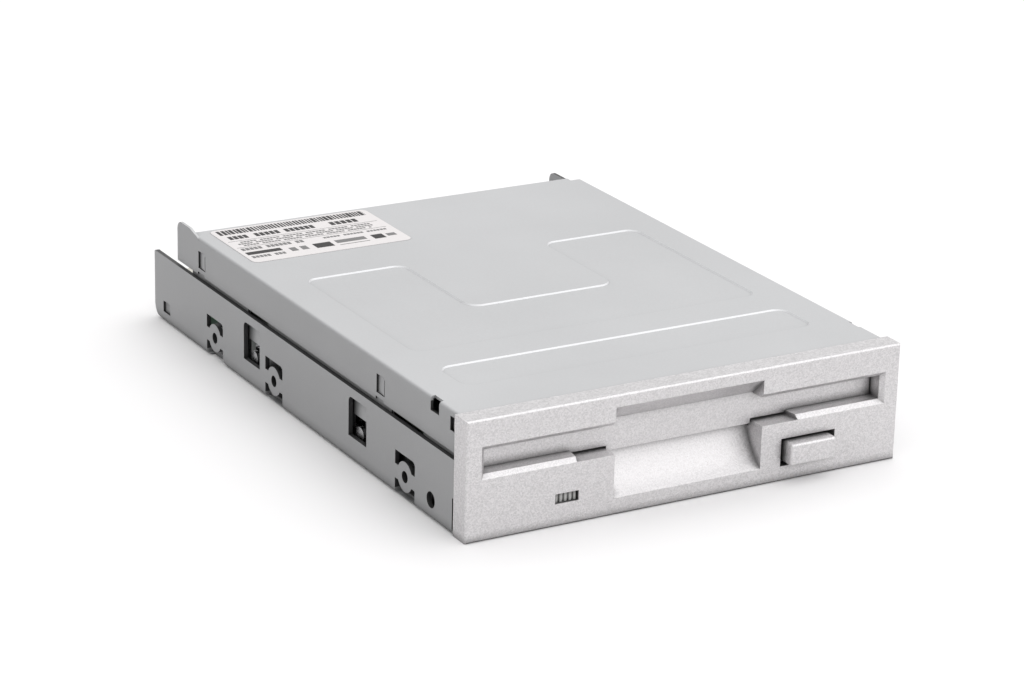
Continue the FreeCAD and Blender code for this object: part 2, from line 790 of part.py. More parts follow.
def build_front_bezel():
    """Bezel with the disk slot, the thumb recess, the lamp window and the button opening."""
    wide = half_width
    depth = mm.bezel_depth
    skirt = mm.bezel_skirt
    chamfer = mm.slot_chamfer
    mouth_half = slot_half + chamfer
    mouth_low = mm.slot_low - chamfer
    mouth_high = mm.slot_high + chamfer
    recess = mm.recess_half_width
    plate = rounded(box((-wide, wide), (0, depth), (0, mm.bezel_height)), mm.bezel_edge_radius,
                    lambda middle, way: abs(middle.y) < 0.01)
    added = [box(about(as_size(0), recess + skirt), (depth, mm.recess_back), (5.5, mm.recess_top))]
    removed = []
    removed.append(box(about(as_size(0), slot_half), (-1, depth + 1), (mm.slot_low, mm.slot_high)))
    mouth = box((-mouth_half, mouth_half), (-chamfer, chamfer), (mouth_low, mouth_high))
    removed.append(rounded(mouth, chamfer,
                           lambda middle, way: middle.y > DRIVING["slot_chamfer"] - 0.01, "Part::Chamfer"))
    for side in BOTH_SIDES:
        removed.append(prism("z", [(side * (recess - 1), -1), (side * mm.ledge_front_half, -1),
                                   (side * mm.ledge_front_half, 0), (side * mm.ledge_back_half, depth + 1),
                                   (side * (recess - 1), depth + 1)], (mouth_low, mm.slot_low + 0.5)))
        removed.append(box(across(side, recess + skirt, wide - 3.3), (mm.bezel_wall, depth + 1),
                           (skirt, mouth_low - skirt)))
        removed.append(box(across(side, recess + skirt, wide - 4.8), (mm.bezel_wall, depth + 1),
                           (mm.door_axis_z + 1.4, mm.bezel_height - skirt)))
        lug_x = across(side, slot_half + 0.8, wide - 1.5)
        lug = box(lug_x, (depth - 1, mm.door_axis_y + 1.1), about(mm.door_axis_z, as_size(1.3)))
        bore = round_bar(mm.door_pin_radius + 0.05, "x", (mm.door_axis_y, mm.door_axis_z),
                         across(side, slot_half, wide - 2))
        added.append(cut(lug, bore))
        removed.append(bore)
        added.append(box(across(side, frame_inner - 0.1 - mm.clip_thickness, frame_inner - 0.1),
                         (depth - 0.5, depth + 4), (2.5, 7.5)))
        cover_inside = cover_half - mm.cover_sheet
        added.append(box(across(side, cover_inside - 0.1 - mm.clip_thickness, cover_inside - 0.1),
                         (depth - 0.5, mm.clip_window_back + 0.8),
                         (mm.clip_window_low, mm.clip_window_high)))
        nub_back = mm.clip_window_back - mm.clip_nub_gap
        nub = box(across(side, cover_inside - 0.2, cover_half - mm.clip_nub_sink), (depth + 0.3, nub_back),
                  (mm.clip_window_low + 0.2, mm.clip_window_high - 0.2))
        added.append(nub)
    removed.append(box(about(as_size(0), recess - 1), (mm.bezel_wall, depth + 1),
                       (mm.notch_top, mm.bezel_height - skirt)))
    removed.append(box(about(as_size(0), slot_half + 0.75), (mm.door_front_y - 0.15, depth + 1),
                       (mm.door_low - 0.15, mm.door_axis_z + 1.1)))
    scoop = common(round_bar(mm.recess_radius, "x", (mm.recess_centre_y, mm.bezel_height - 8.86),
                             about(as_size(0), recess)),
                   box(about(as_size(0), recess), (-1, mm.recess_back + 1), (0, mm.slot_low + 0.2)))
    removed.append(scoop)
    removed.append(prism("x", [(0, mm.notch_top), (depth - 0.7, mm.slot_high - 0.1),
                               (depth - 0.7, mm.slot_high - 1), (-1, mm.slot_high - 1), (-1, mm.notch_top)],
                         about(as_size(0), recess)))
    removed.append(box((mm.lamp_window_left, mm.lamp_window_left + mm.lamp_window_width), (-1, depth + 1),
                       (mm.lamp_window_low, mm.lamp_window_low + mm.lamp_window_height)))
    removed.append(box((mm.button_hole_left, mm.button_hole_left + mm.button_hole_width), (-1, depth + 1),
                       (mm.button_hole_low, mm.button_hole_low + mm.button_hole_height)))
    base = cut(plate, *removed)
    extras = added[0]
    node("front_bezel", fuse(base, cut(extras, scoop), *added[1:]))


def build_lamp():
    """Ribbed window for the lamp, its light guide, and the lamp on the board behind."""
    gap = 0.1
    left = mm.lamp_window_left + gap
    right = mm.lamp_window_left + mm.lamp_window_width - gap
    low = mm.lamp_window_low + gap
    high = mm.lamp_window_low + mm.lamp_window_height - gap
    nose = box((left, right), (0.9, mm.bezel_wall), (low, high))
    flange = box((left - 1, right + 1), (mm.bezel_wall, mm.bezel_wall + 0.8), (low - 1, high + 1))
    guide = box((left + 1, right - 1), (mm.bezel_wall + 0.8, mm.slider_front - 3.2), (low, high))
    rib_count = 5
    rib_radius = 0.4
    pitch = (mm.lamp_window_width - 1.1) / (rib_count - 1)
    ribs = [round_bar(as_size(rib_radius), "z", (left + 0.45 + pitch * rib, 0.9), (low, high))
            for rib in range(rib_count)]
    node("lamp_window", fuse(nose, flange, guide, *ribs))
    lamp_y = mm.slider_front - 3.2
    body = box((left + 1, right - 1), (lamp_y, lamp_y + 2.4), (board_top, high))
    node("lamp", body)


def build_door():
    """Flap behind the slot on two end pins, with its return spring."""
    wide = slot_half - mm.door_gap
    recess = mm.recess_half_width - 0.35
    door_y = (mm.door_front_y, mm.door_front_y + mm.door_thickness)
    plate = box(about(as_size(0), wide), door_y, (mm.door_low, mm.door_axis_z))
    tab = box(about(as_size(0), recess), door_y, (mm.door_tab_low, mm.door_low + 1))
    centre = (mm.door_axis_y, mm.door_axis_z)
    barrel = round_bar(mm.door_barrel_radius, "x", centre, about(as_size(0), wide))
    pins = round_bar(mm.door_pin_radius, "x", centre, about(as_size(0), wide + 1.9))
    node("slot_door", fuse(plate, tab, barrel, pins))
    spring_ends = (wide + 0.05, wide + 0.85)
    node("door_spring", ring(mm.door_pin_radius + 0.45, mm.door_pin_radius + 0.05, "x", centre, spring_ends))


def build_eject_button():
    """Button cap with its stem, which meets the slider's upright."""
    left = mm.button_hole_left + mm.button_side_gap
    right = left + mm.button_width
    low = mm.button_low
    high = mm.button_low + mm.button_height
    body = padded_body("eject_button", "XZ_Plane", [(left, low), (right, low), (right, high), (left, high)],
                       -mm.button_cap_back, mm.button_proud + mm.button_cap_back)
    doc.recompute()
    pad = body.Tip
    front = -DRIVING["button_proud"]
    edges = edge_numbers(pad.Shape, lambda middle, way: middle.y < front + 0.01 or abs(way.y) > 1)
    soften = body.newObject("PartDesign::Fillet", "eject_button_edges")
    soften.Base = (pad, [f"Edge{number}" for number in edges])
    bind(soften, "Radius", mm.button_edge_radius)
    sketch = body.newObject("Sketcher::SketchObject", "eject_button_stem_outline")
    sketch.AttachmentSupport = [(body_plane(body, "XZ_Plane"), "")]
    sketch.MapMode = "FlatFace"
    bind(sketch, "AttachmentOffset.Base.z", -mm.slider_front)
    draw_outline(sketch, [(left + 2, low + 0.8), (right - 2, low + 0.8), (right - 2, high - 0.7),
                          (left + 2, high - 0.7)])
    stem = body.newObject("PartDesign::Pad", "eject_button_stem")
    stem.Profile = sketch
    bind(stem, "Length", mm.slider_front - mm.button_cap_back)
    body.Tip = stem


def cam_slot(x, pin_y):
    """Sloping slot for one cam pin, as long as the slider's travel with its overtravel."""
    radius = mm.cam_pin_radius + mm.cam_clearance
    start = mm.eject_overtravel + 0.2
    finish = mm.eject_travel + 0.3
    start_point = (pin_y - start, mm.cam_pin_z + start * mm.cam_slope)
    end_point = (pin_y + finish, mm.cam_pin_z - finish * mm.cam_slope)
    slope_length = square_root(mm.cam_slope * mm.cam_slope + 1)
    off_y = radius * mm.cam_slope / slope_length
    off_z = radius / slope_length
    corners = [(start_point[0] + off_y, start_point[1] + off_z),
               (start_point[0] - off_y, start_point[1] - off_z),
               (end_point[0] - off_y, end_point[1] - off_z),
               (end_point[0] + off_y, end_point[1] + off_z)]
    ends = [round_bar(radius, "x", point, x) for point in (start_point, end_point)]
    return [prism("x", corners, x), *ends]


def build_slider():
    """U-shaped slider: two cam flanges, a front bar with the button's upright, and spring hooks."""
    added = []
    removed = []
    for side in BOTH_SIDES:
        flange = across(side, slider_inner_half, slider_half)
        added.append(box(flange, (mm.slider_front, mm.slider_back), (slider_low, mm.slider_top)))
        added.append(box(across(side, spring_half - 1.2, slider_half),
                         (mm.spring_hook_y, mm.spring_hook_y + mm.slider_sheet),
                         about(mm.spring_centre_z, 0.6)))
        cutter = across(side, slider_inner_half - 0.3, slider_half + 0.5)
        for pin_y in cam_pin_places:
            removed.extend(cam_slot(cutter, pin_y))
            removed.append(box(cutter, (pin_y - 0.6, pin_y + mm.eject_travel + 1.3),
                               (mm.cam_pin_z, mm.cam_pad_low)))
            added.append(box(across(side, slider_half - 0.1, slider_half + mm.cam_pad_reach),
                             (pin_y - 3.7, pin_y + 6.1), (mm.cam_pad_low, mm.cam_pad_top)))
        removed.append(box(cutter, (22.5, 35.7), (mm.holder_floor, mm.slider_top + 1)))
        removed.append(rounded(box(cutter, (mm.cam_pin_front_y + 14, mm.cam_pin_front_y + 30), (7, 14)),
                               as_size(2), along("x")))
    bar = box(about(as_size(0), slider_half), (mm.slider_front, mm.slider_front + mm.slider_bar_depth),
              (slider_low, slider_low + mm.slider_sheet))
    button_left = mm.button_hole_left + mm.button_side_gap
    upright = box((button_left + 1, button_left + mm.button_width - 1),
                  (mm.slider_front, mm.slider_front + mm.slider_sheet), (slider_low, 8.6))
    node("eject_slider", cut(fuse(bar, upright, *added), *removed))
    springs = [ring(mm.spring_radius, mm.spring_radius - mm.spring_wire, "y",
                    (side * spring_half, mm.spring_centre_z),
                    (mm.spring_post_y + mm.eject_travel + 1.5, mm.spring_hook_y)) for side in BOTH_SIDES]
    node("eject_springs", group(*springs))


def build_holder():
    """Disk holder: a bent channel with four legs for the cam pins, and what is fixed to it."""
    wide = holder_half
    length = (mm.holder_front, mm.holder_back)
    added = []
    removed = []
    pins = []
    posts = []
    for side in BOTH_SIDES:
        wall = across(side, holder_inner_half, wide)
        added.append(box(wall, length, (holder_low, holder_top)))
        added.append(box(across(side, holder_half - mm.holder_lip, wide),
                         (mm.holder_front, mm.guide_post_y - 3.5), (holder_low, mm.holder_floor)))
        for pin_y in cam_pin_places:
            added.append(box(wall, about(pin_y, mm.holder_leg_half), (mm.cam_pin_z - 1.6, holder_low + 1)))
            reach = across(side, holder_inner_half, cam_pin_reach)
            head = across(side, slider_half + mm.cam_pin_head_gap, cam_pin_reach)
            pins.append(fuse(round_bar(mm.cam_pin_radius, "x", (pin_y, mm.cam_pin_z), reach),
                             round_bar(mm.cam_pin_head_radius, "x", (pin_y, mm.cam_pin_z), head)))
            removed.append(round_bar(mm.cam_pin_radius, "x", (pin_y, mm.cam_pin_z),
                                     across(side, holder_inner_half - 1, wide + 1)))
        post_xy = (side * (holder_half - mm.guide_post_inset), mm.guide_post_y)
        removed.append(round_bar(mm.guide_post_radius + mm.guide_gap, "z", post_xy,
                                 (holder_low - 1, holder_top + 1)))
        posts.append(round_bar(mm.guide_post_radius, "z", post_xy, (floor_top, mm.guide_post_top)))
    plate = box(about(as_size(0), wide), length, (holder_under_plate, holder_top))
    notch = mm.head_notch_half
    removed.append(box(about(as_size(0), notch), (mm.head_notch_front, mm.holder_back + 1),
                       (holder_low, holder_top + 1)))
    removed.append(box(about(as_size(0), mm.recess_half_width + 0.7),
                       (mm.holder_front - 1, mm.holder_front + 2.4), (holder_low, holder_top + 1)))
    slot_outer = mm.lever_reach + mm.lever_slot_half
    slot_start = 180 - (DRIVING["lever_travel"] - DRIVING["lever_rest_turn"]) - 4
    lever_slot = doc.addObject("Part::Cylinder", "LeverSlot")
    bind(lever_slot, "Radius", slot_outer)
    bind(lever_slot, "Height", mm.holder_sheet + 2)
    lever_slot.Angle = DRIVING["lever_travel"] + 8
    place(lever_slot, lever_pivot_x, mm.lever_pivot_y, holder_under_plate - 1,
          Rotation(Vector(0, 0, 1), slot_start))
    web = round_bar(mm.lever_reach - mm.lever_slot_half, "z", (lever_pivot_x, mm.lever_pivot_y),
                    (holder_under_plate - 2, holder_top + 2))
    removed.append(cut(lever_slot, web))
    removed.append(round_bar(mm.lever_pivot_radius, "z", (lever_pivot_x, mm.lever_pivot_y),
                             (holder_under_plate - 1, holder_top + 1)))
    node("disk_holder", cut(fuse(plate, *added), *removed))
    node("holder_pins", group(*pins))
    node("guide_posts", group(*posts))
    strips = [rounded(box(across(side, mm.strip_inner, mm.strip_outer), (mm.strip_start, mm.strip_end),
                          (holder_top, holder_top + mm.strip_thickness)), as_size(2), along("z"))
              for side in BOTH_SIDES]
    node("pressure_springs", group(*strips))


def build_lever():
    """Shutter lever that the disk pushes round, with its rivet and return spring."""
    low = holder_top + 0.1
    high = low + mm.lever_sheet
    disc = round_bar(as_size(4.5), "z", (0, 0), (low, high))
    arm = box((-mm.lever_reach, 0), (-2.5, 2.5), (low, high))
    tip = round_bar(as_size(2.5), "z", (-mm.lever_reach, 0), (low, high))
    finger = round_bar(mm.lever_finger_radius, "z", (-mm.lever_reach, 0), (mm.holder_floor + 0.8, low + 0.1))
    hole = round_bar(mm.lever_pivot_radius + 0.05, "z", (0, 0), (low - 1, high + 1))
    angle = DRIVING["lever_rest_turn"]
    lever = cut(fuse(disc, arm, tip, finger), hole)
    turned_node("shutter_lever", lever, lever_pivot_x, mm.lever_pivot_y, 0, "z", angle)
    centre = (lever_pivot_x, mm.lever_pivot_y)
    rivet = fuse(round_bar(mm.lever_pivot_radius, "z", centre, (holder_under_plate, high + 0.5)),
                 round_bar(mm.lever_pivot_radius * 2, "z", centre, (high + 0.05, high + 0.5)))
    node("lever_rivet", rivet)
    node("lever_spring", ring(as_size(3.6), as_size(2.7), "z", centre, (high, high + 0.8)))


def build_spindle_motor():
    """Flat motor: board, stator with its coils, bearing, and the rotor that carries the disk."""
    half = motor_board_half
    tongue = (mm.lamp_window_left - 3, mm.lamp_window_left + 10)
    sheet_z = (mm.board_low, board_top)
    plate = fuse(box(about(as_size(0), half), (mm.motor_board_front, mm.motor_board_back), sheet_z),
                 box(tongue, (mm.slider_front - 3.4, mm.motor_board_front + 1), sheet_z))
    holes = [round_bar(screw_hole_radius, "z", place_xy, (mm.board_low - 1, board_top + 1))
             for place_xy in motor_board_screws]
    holes.append(round_bar(mm.bearing_radius, "z", (0, mm.spindle_y), (mm.board_low - 1, board_top + 1)))
    node("motor_board", cut(plate, *holes))
    screws = [cap_screw(x, y, 0.4, board_top) for x, y in motor_board_screws]
    node("motor_board_screws", group(*screws))

    centre = (as_size(0), mm.spindle_y)
    low = mm.stator_low
    high = low + mm.stator_sheet
    arms = []
    coils = []
    for number in range(DRIVING["stator_poles"]):
        angle = 360 / DRIVING["stator_poles"] * (number + 0.5)
        arm = fuse(box((mm.bearing_radius + 2, mm.stator_radius - 1), (-0.9, 0.9), (low, high)),
                   box((mm.stator_radius - 1.6, mm.stator_radius), (-4, 4), (low, high)))
        coil = cut(box((mm.bearing_radius + 5.9, mm.stator_radius - 2.6), (-2.1, 2.1),
                       (low - 0.5, high + 0.5)),
                   box((mm.bearing_radius, mm.stator_radius), (-0.9, 0.9), (low, high)))
        arms.append(spun(arm, centre, angle))
        coils.append(spun(coil, centre, angle))
    middle = ring(mm.bearing_radius + 4, mm.bearing_radius, "z", centre, (low, high))
    node("stator_core", fuse(middle, *arms))
    node("stator_coils", group(*coils))

    bore = mm.spindle_radius + mm.running_gap
    flange_r = mm.bearing_flange_radius
    outer = mm.bearing_radius
    turned_body("spindle_bearing",
                [(bore, 0.4), (outer, 0.4), (outer, board_top), (flange_r, board_top),
                 (flange_r, low), (outer, low), (outer, 6.7), (bore, 6.7)], 0, mm.spindle_y)
    shaft = mm.spindle_radius
    turned_body("spindle_shaft", [(0, 0.6), (shaft, 0.6), (shaft, mm.spindle_top - 0.8),
                                  (shaft - 0.8, mm.spindle_top), (0, mm.spindle_top)], 0, mm.spindle_y)
    rim = mm.rotor_radius
    gauge = mm.rotor_sheet
    top = mm.rotor_top
    turned_body("rotor_cup", [(shaft, top - gauge), (rim - gauge, top - gauge), (rim - gauge, mm.rotor_low),
                              (rim, mm.rotor_low), (rim, top), (shaft, top)], 0, mm.spindle_y)
    turned_body("rotor_magnet",
                [(mm.magnet_radius, mm.rotor_low + 0.1), (rim - gauge, mm.rotor_low + 0.1),
                 (rim - gauge, top - gauge), (mm.magnet_radius, top - gauge)], 0, mm.spindle_y)
    pin_centre = (mm.drive_pin_offset, mm.spindle_y)
    table = cut(round_bar(mm.hub_radius, "z", centre, (top, mm.hub_top)),
                round_bar(shaft, "z", centre, (top - 1, mm.hub_top + 1)),
                round_bar(mm.drive_pin_radius, "z", pin_centre, (mm.hub_top - 1.5, mm.hub_top + 1)))
    node("hub_table", table)
    node("drive_pin", round_bar(mm.drive_pin_radius, "z", pin_centre, (mm.hub_top - 1.5, mm.hub_top + 1.3)))
    node("motor_driver", box((26, 33), (mm.motor_board_back - 7.5, mm.motor_board_back - 0.5),
                             (board_top, board_top + 1.8)))


def spun(thing, centre, angle):
    """A shape built about the origin, set down at a centre and turned about z."""
    holder = group(thing)
    place(holder, centre[0], centre[1], 0, Rotation(Vector(0, 0, 1), angle))
    return holder


def cap_screw(x, y, low, head_low):
    """One screw: a shank below and a slotted head."""
    head = round_bar(mm.screw_head_radius, "z", (x, y), (head_low, head_low + mm.screw_head_height))
    shank = round_bar(mm.screw_shank_radius, "z", (x, y), (low, head_low + 0.1))
    slot_z = (head_low + mm.screw_head_height * 0.5, head_low + mm.screw_head_height + 1)
    slot = box(about(x, mm.screw_head_radius + 1), about(y, 0.25), slot_z)
    return cut(fuse(head, shank), slot)


def build_switches():
    """Two switch blocks on the motor board, with the three plungers that feel the disk."""
    left_x = 3.5 - motor_board_half
    right_x = motor_board_half - 3.5
    back_y = mm.switch_y + mm.switch_pitch
    half = mm.switch_half - 0.3
    left = box(about(left_x, half), (mm.switch_y - 2.6, back_y + 2.6), (board_top, mm.switch_top))
    right = box(about(right_x, half), about(mm.switch_y, 2.6), (board_top, mm.switch_top))
    places = {
        "write_protect_plunger": (left_x, mm.switch_y),
        "disk_in_plunger": (left_x, back_y),
        "density_plunger": (right_x, mm.switch_y),
    }
    wells = [round_bar(mm.plunger_radius + 0.05, "z", place_xy, (board_top + 0.8, mm.switch_top + 1))
             for place_xy in places.values()]
    node("switch_blocks", group(cut(left, wells[0], wells[1]), cut(right, wells[2])))
    for name, (x, y) in places.items():
        low = board_top + 0.8 + mm.plunger_travel + 0.2
        tip = mm.plunger_top
        radius = mm.plunger_radius
        turned_body(name, [(0, low), (radius, low), (radius, tip - 0.5), (radius - 0.5, tip), (0, tip)],
                    x, y)


def build_head_drive():
    """Stepper motor on its bracket, lead screw, guide rod and what holds them."""
    axis = (mm.screw_x, mm.rail_z)
    front = mm.stepper_front
    journal = mm.screw_journal_radius
    bore = journal + mm.running_gap
    bracket_front = front - 1.2
    bracket_half = mm.stepper_radius + 1
    upright = box(about(mm.screw_x, bracket_half), (bracket_front, front), (floor_top, mm.rail_z + 6.5))
    foot = box(about(mm.screw_x, bracket_half), (front - 7.5, front), (floor_top, floor_top + 0.8))
    holes = [round_bar(screw_hole_radius, "z", place_xy, (floor_top - 1, floor_top + 2))
             for place_xy in bracket_screws]
    holes.append(round_bar(as_size(2.2), "y", axis, (bracket_front - 1, front + 1)))
    node("stepper_bracket", cut(fuse(upright, foot), *holes))
    node("bracket_screws", group(*[cap_screw(x, y, 0.2, floor_top + 0.8) for x, y in bracket_screws]))
    can = fuse(round_bar(mm.stepper_radius, "y", axis, (front, stepper_back)),
               round_bar(as_size(2.2), "y", axis, (bracket_front - 0.2, front)),
               box((mm.screw_x + mm.stepper_radius - 1.5, mm.screw_x + mm.stepper_radius + 2.5),
                   (front + 3, stepper_back - 2), about(mm.rail_z, 3)))
    rotor_ends = (front + 1.5, stepper_back - 2.5)
    rotor_room = round_bar(mm.stepper_rotor_radius + mm.stepper_air_gap, "y", axis,
                           (rotor_ends[0] - 0.5, rotor_ends[1] + 0.5))
    shaft_end = stepper_back - 0.5
    shaft_room = round_bar(bore, "y", axis, (bracket_front - 1, shaft_end + 0.1))
    node("stepper_motor", cut(can, rotor_room, shaft_room))
    node("stepper_rotor", ring(mm.stepper_rotor_radius, journal, "y", axis, rotor_ends))
    screw = fuse(round_bar(mm.screw_radius, "y", axis, (mm.rail_front - 1, bracket_front - 0.4)),
                 round_bar(journal, "y", axis, (mm.rail_front - 3.7, shaft_end)))
    node("lead_screw", screw)
    block = box(about(mm.screw_x, 3), (mm.rail_front - 4, mm.rail_front - 1.3),
                (floor_top, mm.rail_z + 2.5))
    bearing = cut(block, round_bar(bore, "y", axis, (mm.rail_front - 5, mm.rail_front)))
    node("screw_bearing", bearing)
    rail = (mm.rail_x, mm.rail_z)
    node("guide_rod", round_bar(mm.rail_radius, "y", rail, (mm.rail_front, mm.rail_back)))
    posts = []
    for low in (mm.rail_front, mm.rail_back - 3):
        block = box(about(mm.rail_x, 3), (low, low + 3), (floor_top, mm.rail_z + 2.1))
        posts.append(cut(block, round_bar(mm.rail_radius, "y", rail, (low - 1, low + 4))))
    node("rod_posts", group(*posts))


def build_carriage():
    """Head carriage with the lower head, the follower on the screw, and the hinge for the arm."""
    zero = mm.track_zero_y
    rail = (mm.rail_x, mm.rail_z)
    base = box((mm.rail_x - 3, 9), (zero + 6.5, hinge_y + 2.5), (mm.carriage_low, mm.carriage_top))
    bushes = [box(about(mm.rail_x, 2.9), (low, low + 6), about(mm.rail_z, 2.8))
              for low in (zero + 8.5, hinge_y - 5.5)]
    neck = box((-5, 5), (zero - 6.5, zero + 7), (mm.carriage_top - 1.2, mm.carriage_top + 1.2))
    ears = [box(across(side, 6, 8), (hinge_y - 3, hinge_y + 2.5), (mm.carriage_top - 0.5, mm.hinge_z + 1.8))
            for side in BOTH_SIDES]
    flag = box((mm.rail_x - 7, mm.rail_x - 2.9), (zero + 15.5, zero + 18.5), (7.6, 8.2))
    holes = [round_bar(mm.rail_radius + mm.running_gap, "y", rail, (zero, hinge_y + 5)),
             round_bar(mm.hinge_pin_radius, "x", (hinge_y, mm.hinge_z), (-9, 9)),
             round_bar(as_size(0.8), "x", (zero + 14, mm.rail_z), (6, 10))]
    node("head_carriage", cut(fuse(base, neck, flag, *bushes, *ears), *holes))
    node("hinge_pin", round_bar(mm.hinge_pin_radius, "x", (hinge_y, mm.hinge_z), (-8, 8)))
    needle_reach = mm.screw_x - mm.screw_radius - 0.2
    node("screw_follower", round_bar(as_size(0.8), "x", (zero + 14, mm.rail_z), (6, needle_reach)))
    neck_top = mm.carriage_top + 1.2
    slider = rounded(box((-2.5, 2.5), about(zero, 3), (neck_top, mm.lower_head_top)), as_size(0.5),
                     lambda middle, way: middle.z > DRIVING["lower_head_top"] - 0.05)
    node("lower_head", slider)


def build_head_arm():
    """Upper head on its hinged arm, modelled flat as when reading and set down lifted."""
    arm_half = 5
    sheet_half = 0.4
    front = -(mm.hinge_behind_head + 4)
    arm = box((-arm_half, arm_half), (front, 1), (-sheet_half, sheet_half))
    barrel = round_bar(as_size(1.6), "x", (0, 0), (-5.8, 5.8))
    lug_y = mm.lug_behind_head - mm.hinge_behind_head
    lug = round_bar(as_size(0.45), "x", (lug_y, -0.15), (3, 12))
    bore = round_bar(mm.hinge_pin_radius + mm.hinge_clearance, "x", (0, 0), (-7, 7))
    angle = -DRIVING["arm_lift"]
    turned_node("upper_head_arm", cut(fuse(arm, barrel, lug), bore), 0, hinge_y, mm.hinge_z, "x", angle)
    head_low = mm.lower_head_top + mm.head_gap - mm.hinge_z
    head = rounded(box((-2.5, 2.5), about(-mm.hinge_behind_head, as_size(3)), (head_low, -sheet_half)),
                   as_size(0.5), lambda middle, way: middle.z < DRIVING["lower_head_top"] + 0.3
                   - DRIVING["hinge_z"])
    turned_node("upper_head", head, 0, hinge_y, mm.hinge_z, "x", angle)
    coil = ring(as_size(2.3), as_size(1.6), "x", (0, 0), (as_size(-5.6), as_size(-2.6)))
    clear = cut(coil, box((-6, 0), (-5, 1), (-sheet_half, sheet_half)))
    turned_node("arm_spring", clear, 0, hinge_y, mm.hinge_z, "x", angle)
    sensor_x = (mm.main_board_inner - 4.5, mm.main_board_inner + 1)
    sensor_y = about(mm.track_zero_y + 17, 2.5)
    sensor = cut(box(sensor_x, sensor_y, (board_top, mm.rail_z + 1.9)),
                 box((mm.main_board_inner - 2.5, mm.main_board_inner + 2),
                     (sensor_y[0] - 1, sensor_y[1] + 1), (7.0, 8.9)))
    node("track_zero_sensor", sensor)


def build_main_board():
    """Main board at the back, with its chips, the data header and the power socket."""
    wide = main_board_half
    sheet_z = (mm.board_low, board_top)
    plate = fuse(box((-wide, mm.main_board_inner), (mm.main_board_front, mm.main_board_step + 1), sheet_z),
                 box((-wide, wide), (mm.main_board_step, mm.main_board_back), sheet_z))
    holes = [round_bar(screw_hole_radius, "z", place_xy, (mm.board_low - 1, board_top + 1))
             for place_xy in main_board_screws]
    node("main_board", cut(plate, *holes))
    node("main_board_screws", group(*[cap_screw(x, y, 0.4, board_top) for x, y in main_board_screws]))
    chip_y = mm.main_board_front + 12
    node("controller_chip", box((mm.controller_left, mm.controller_left + mm.controller_width),
                                about(chip_y, mm.controller_width / 2), (board_top, board_top + 1.8)))
    small = [(3 - wide, chip_y + 9, 4, 2.4), (-22, chip_y + 1, 3, 4), (31, mm.main_board_step + 6, 5, 3.5),
             (-8, mm.main_board_step + 4.5, 6, 3), (14, mm.main_board_step + 5, 4, 3)]
    chips = [box(about(as_size(x), width / 2), about(y, depth / 2), (board_top, board_top + 1.2))
             for x, y, width, depth in small]
    node("board_chips", group(*chips))
    can_places = [(24, mm.main_board_step + 4.5), (37, mm.main_board_back - 5)]
    cans = [round_bar(as_size(2), "z", place_xy, (board_top, board_top + 5)) for place_xy in can_places]
    node("board_capacitors", group(*cans))
    node("board_ribbon", box((2.5 - motor_board_half, 13.5 - motor_board_half),
                             (mm.motor_board_back - 3, mm.main_board_front + 3),
                             (board_top, board_top + 0.2)))
    build_socket("data", mm.header_middle_x, DRIVING["header_columns"], DRIVING["header_rows"], mm.pin_pitch,
                 mm.header_height, 3.0)
    build_socket("power", power_middle_x, DRIVING["power_pins"], 1, mm.power_pitch, as_size(6.6), 2.0)


def build_socket(name, middle_x, columns, rows, pitch, height, end_room):
    """A shrouded header at the back edge, and its pins as separate solids."""
    half = pitch * ((columns - 1) / 2) + end_room
    low = board_top
    high = low + height
    back = mm.main_board_back + mm.socket_overhang
    front = back - mm.header_height
    middle_z = (low + high) / 2
    shell = box(about(middle_x, half), (front, back), (low, high))
    wall = mm.socket_wall
    hollow = box(about(middle_x, half - wall), (front + wall * 1.4, back + 1), (low + wall, high - wall))
    key = box(about(middle_x, as_size(2)), (front + wall * 1.4, back + 1), (high - wall - 0.5, high + 1))
    pins = []
    bores = []
    for column in range(columns):
        for level in range(rows):
            x = middle_x + pitch * (column - (columns - 1) / 2)
            z = middle_z + pitch * (level - (rows - 1) / 2)
            size = (about(x, mm.pin_side / 2), (front, back - 1.2), about(z, mm.pin_side / 2))
            pins.append(box(*size))
            bores.append(box(*size))
    node(f"{name}_socket", cut(shell, hollow, key, *bores))
    node(f"{name}_pins", group(*pins))


build_main_frame()
build_top_cover()
build_label()
build_front_bezel()
build_lamp()
build_door()
build_eject_button()
build_slider()
build_holder()
build_lever()
build_spindle_motor()
build_switches()
build_head_drive()
build_carriage()
build_head_arm()
build_main_board()

doc.recompute()
for thing in doc.Objects:
    if "Invalid" in thing.State or "Error" in thing.State:
        raise RuntimeError(f"{thing.Label} did not build")
os.makedirs("parts", exist_ok=True)
for name, piece in pieces.items():
    shape = piece.Shape
    if shape.isNull() or not shape.isValid():
        raise RuntimeError(f"{name} has no valid shape")
for name, piece in pieces.items():
    piece.Shape.exportStep(f"parts/{name}.step")
print(len(pieces), "pieces written")
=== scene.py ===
import bpy
import bmesh
import math
import random
from mathutils import Matrix, Vector


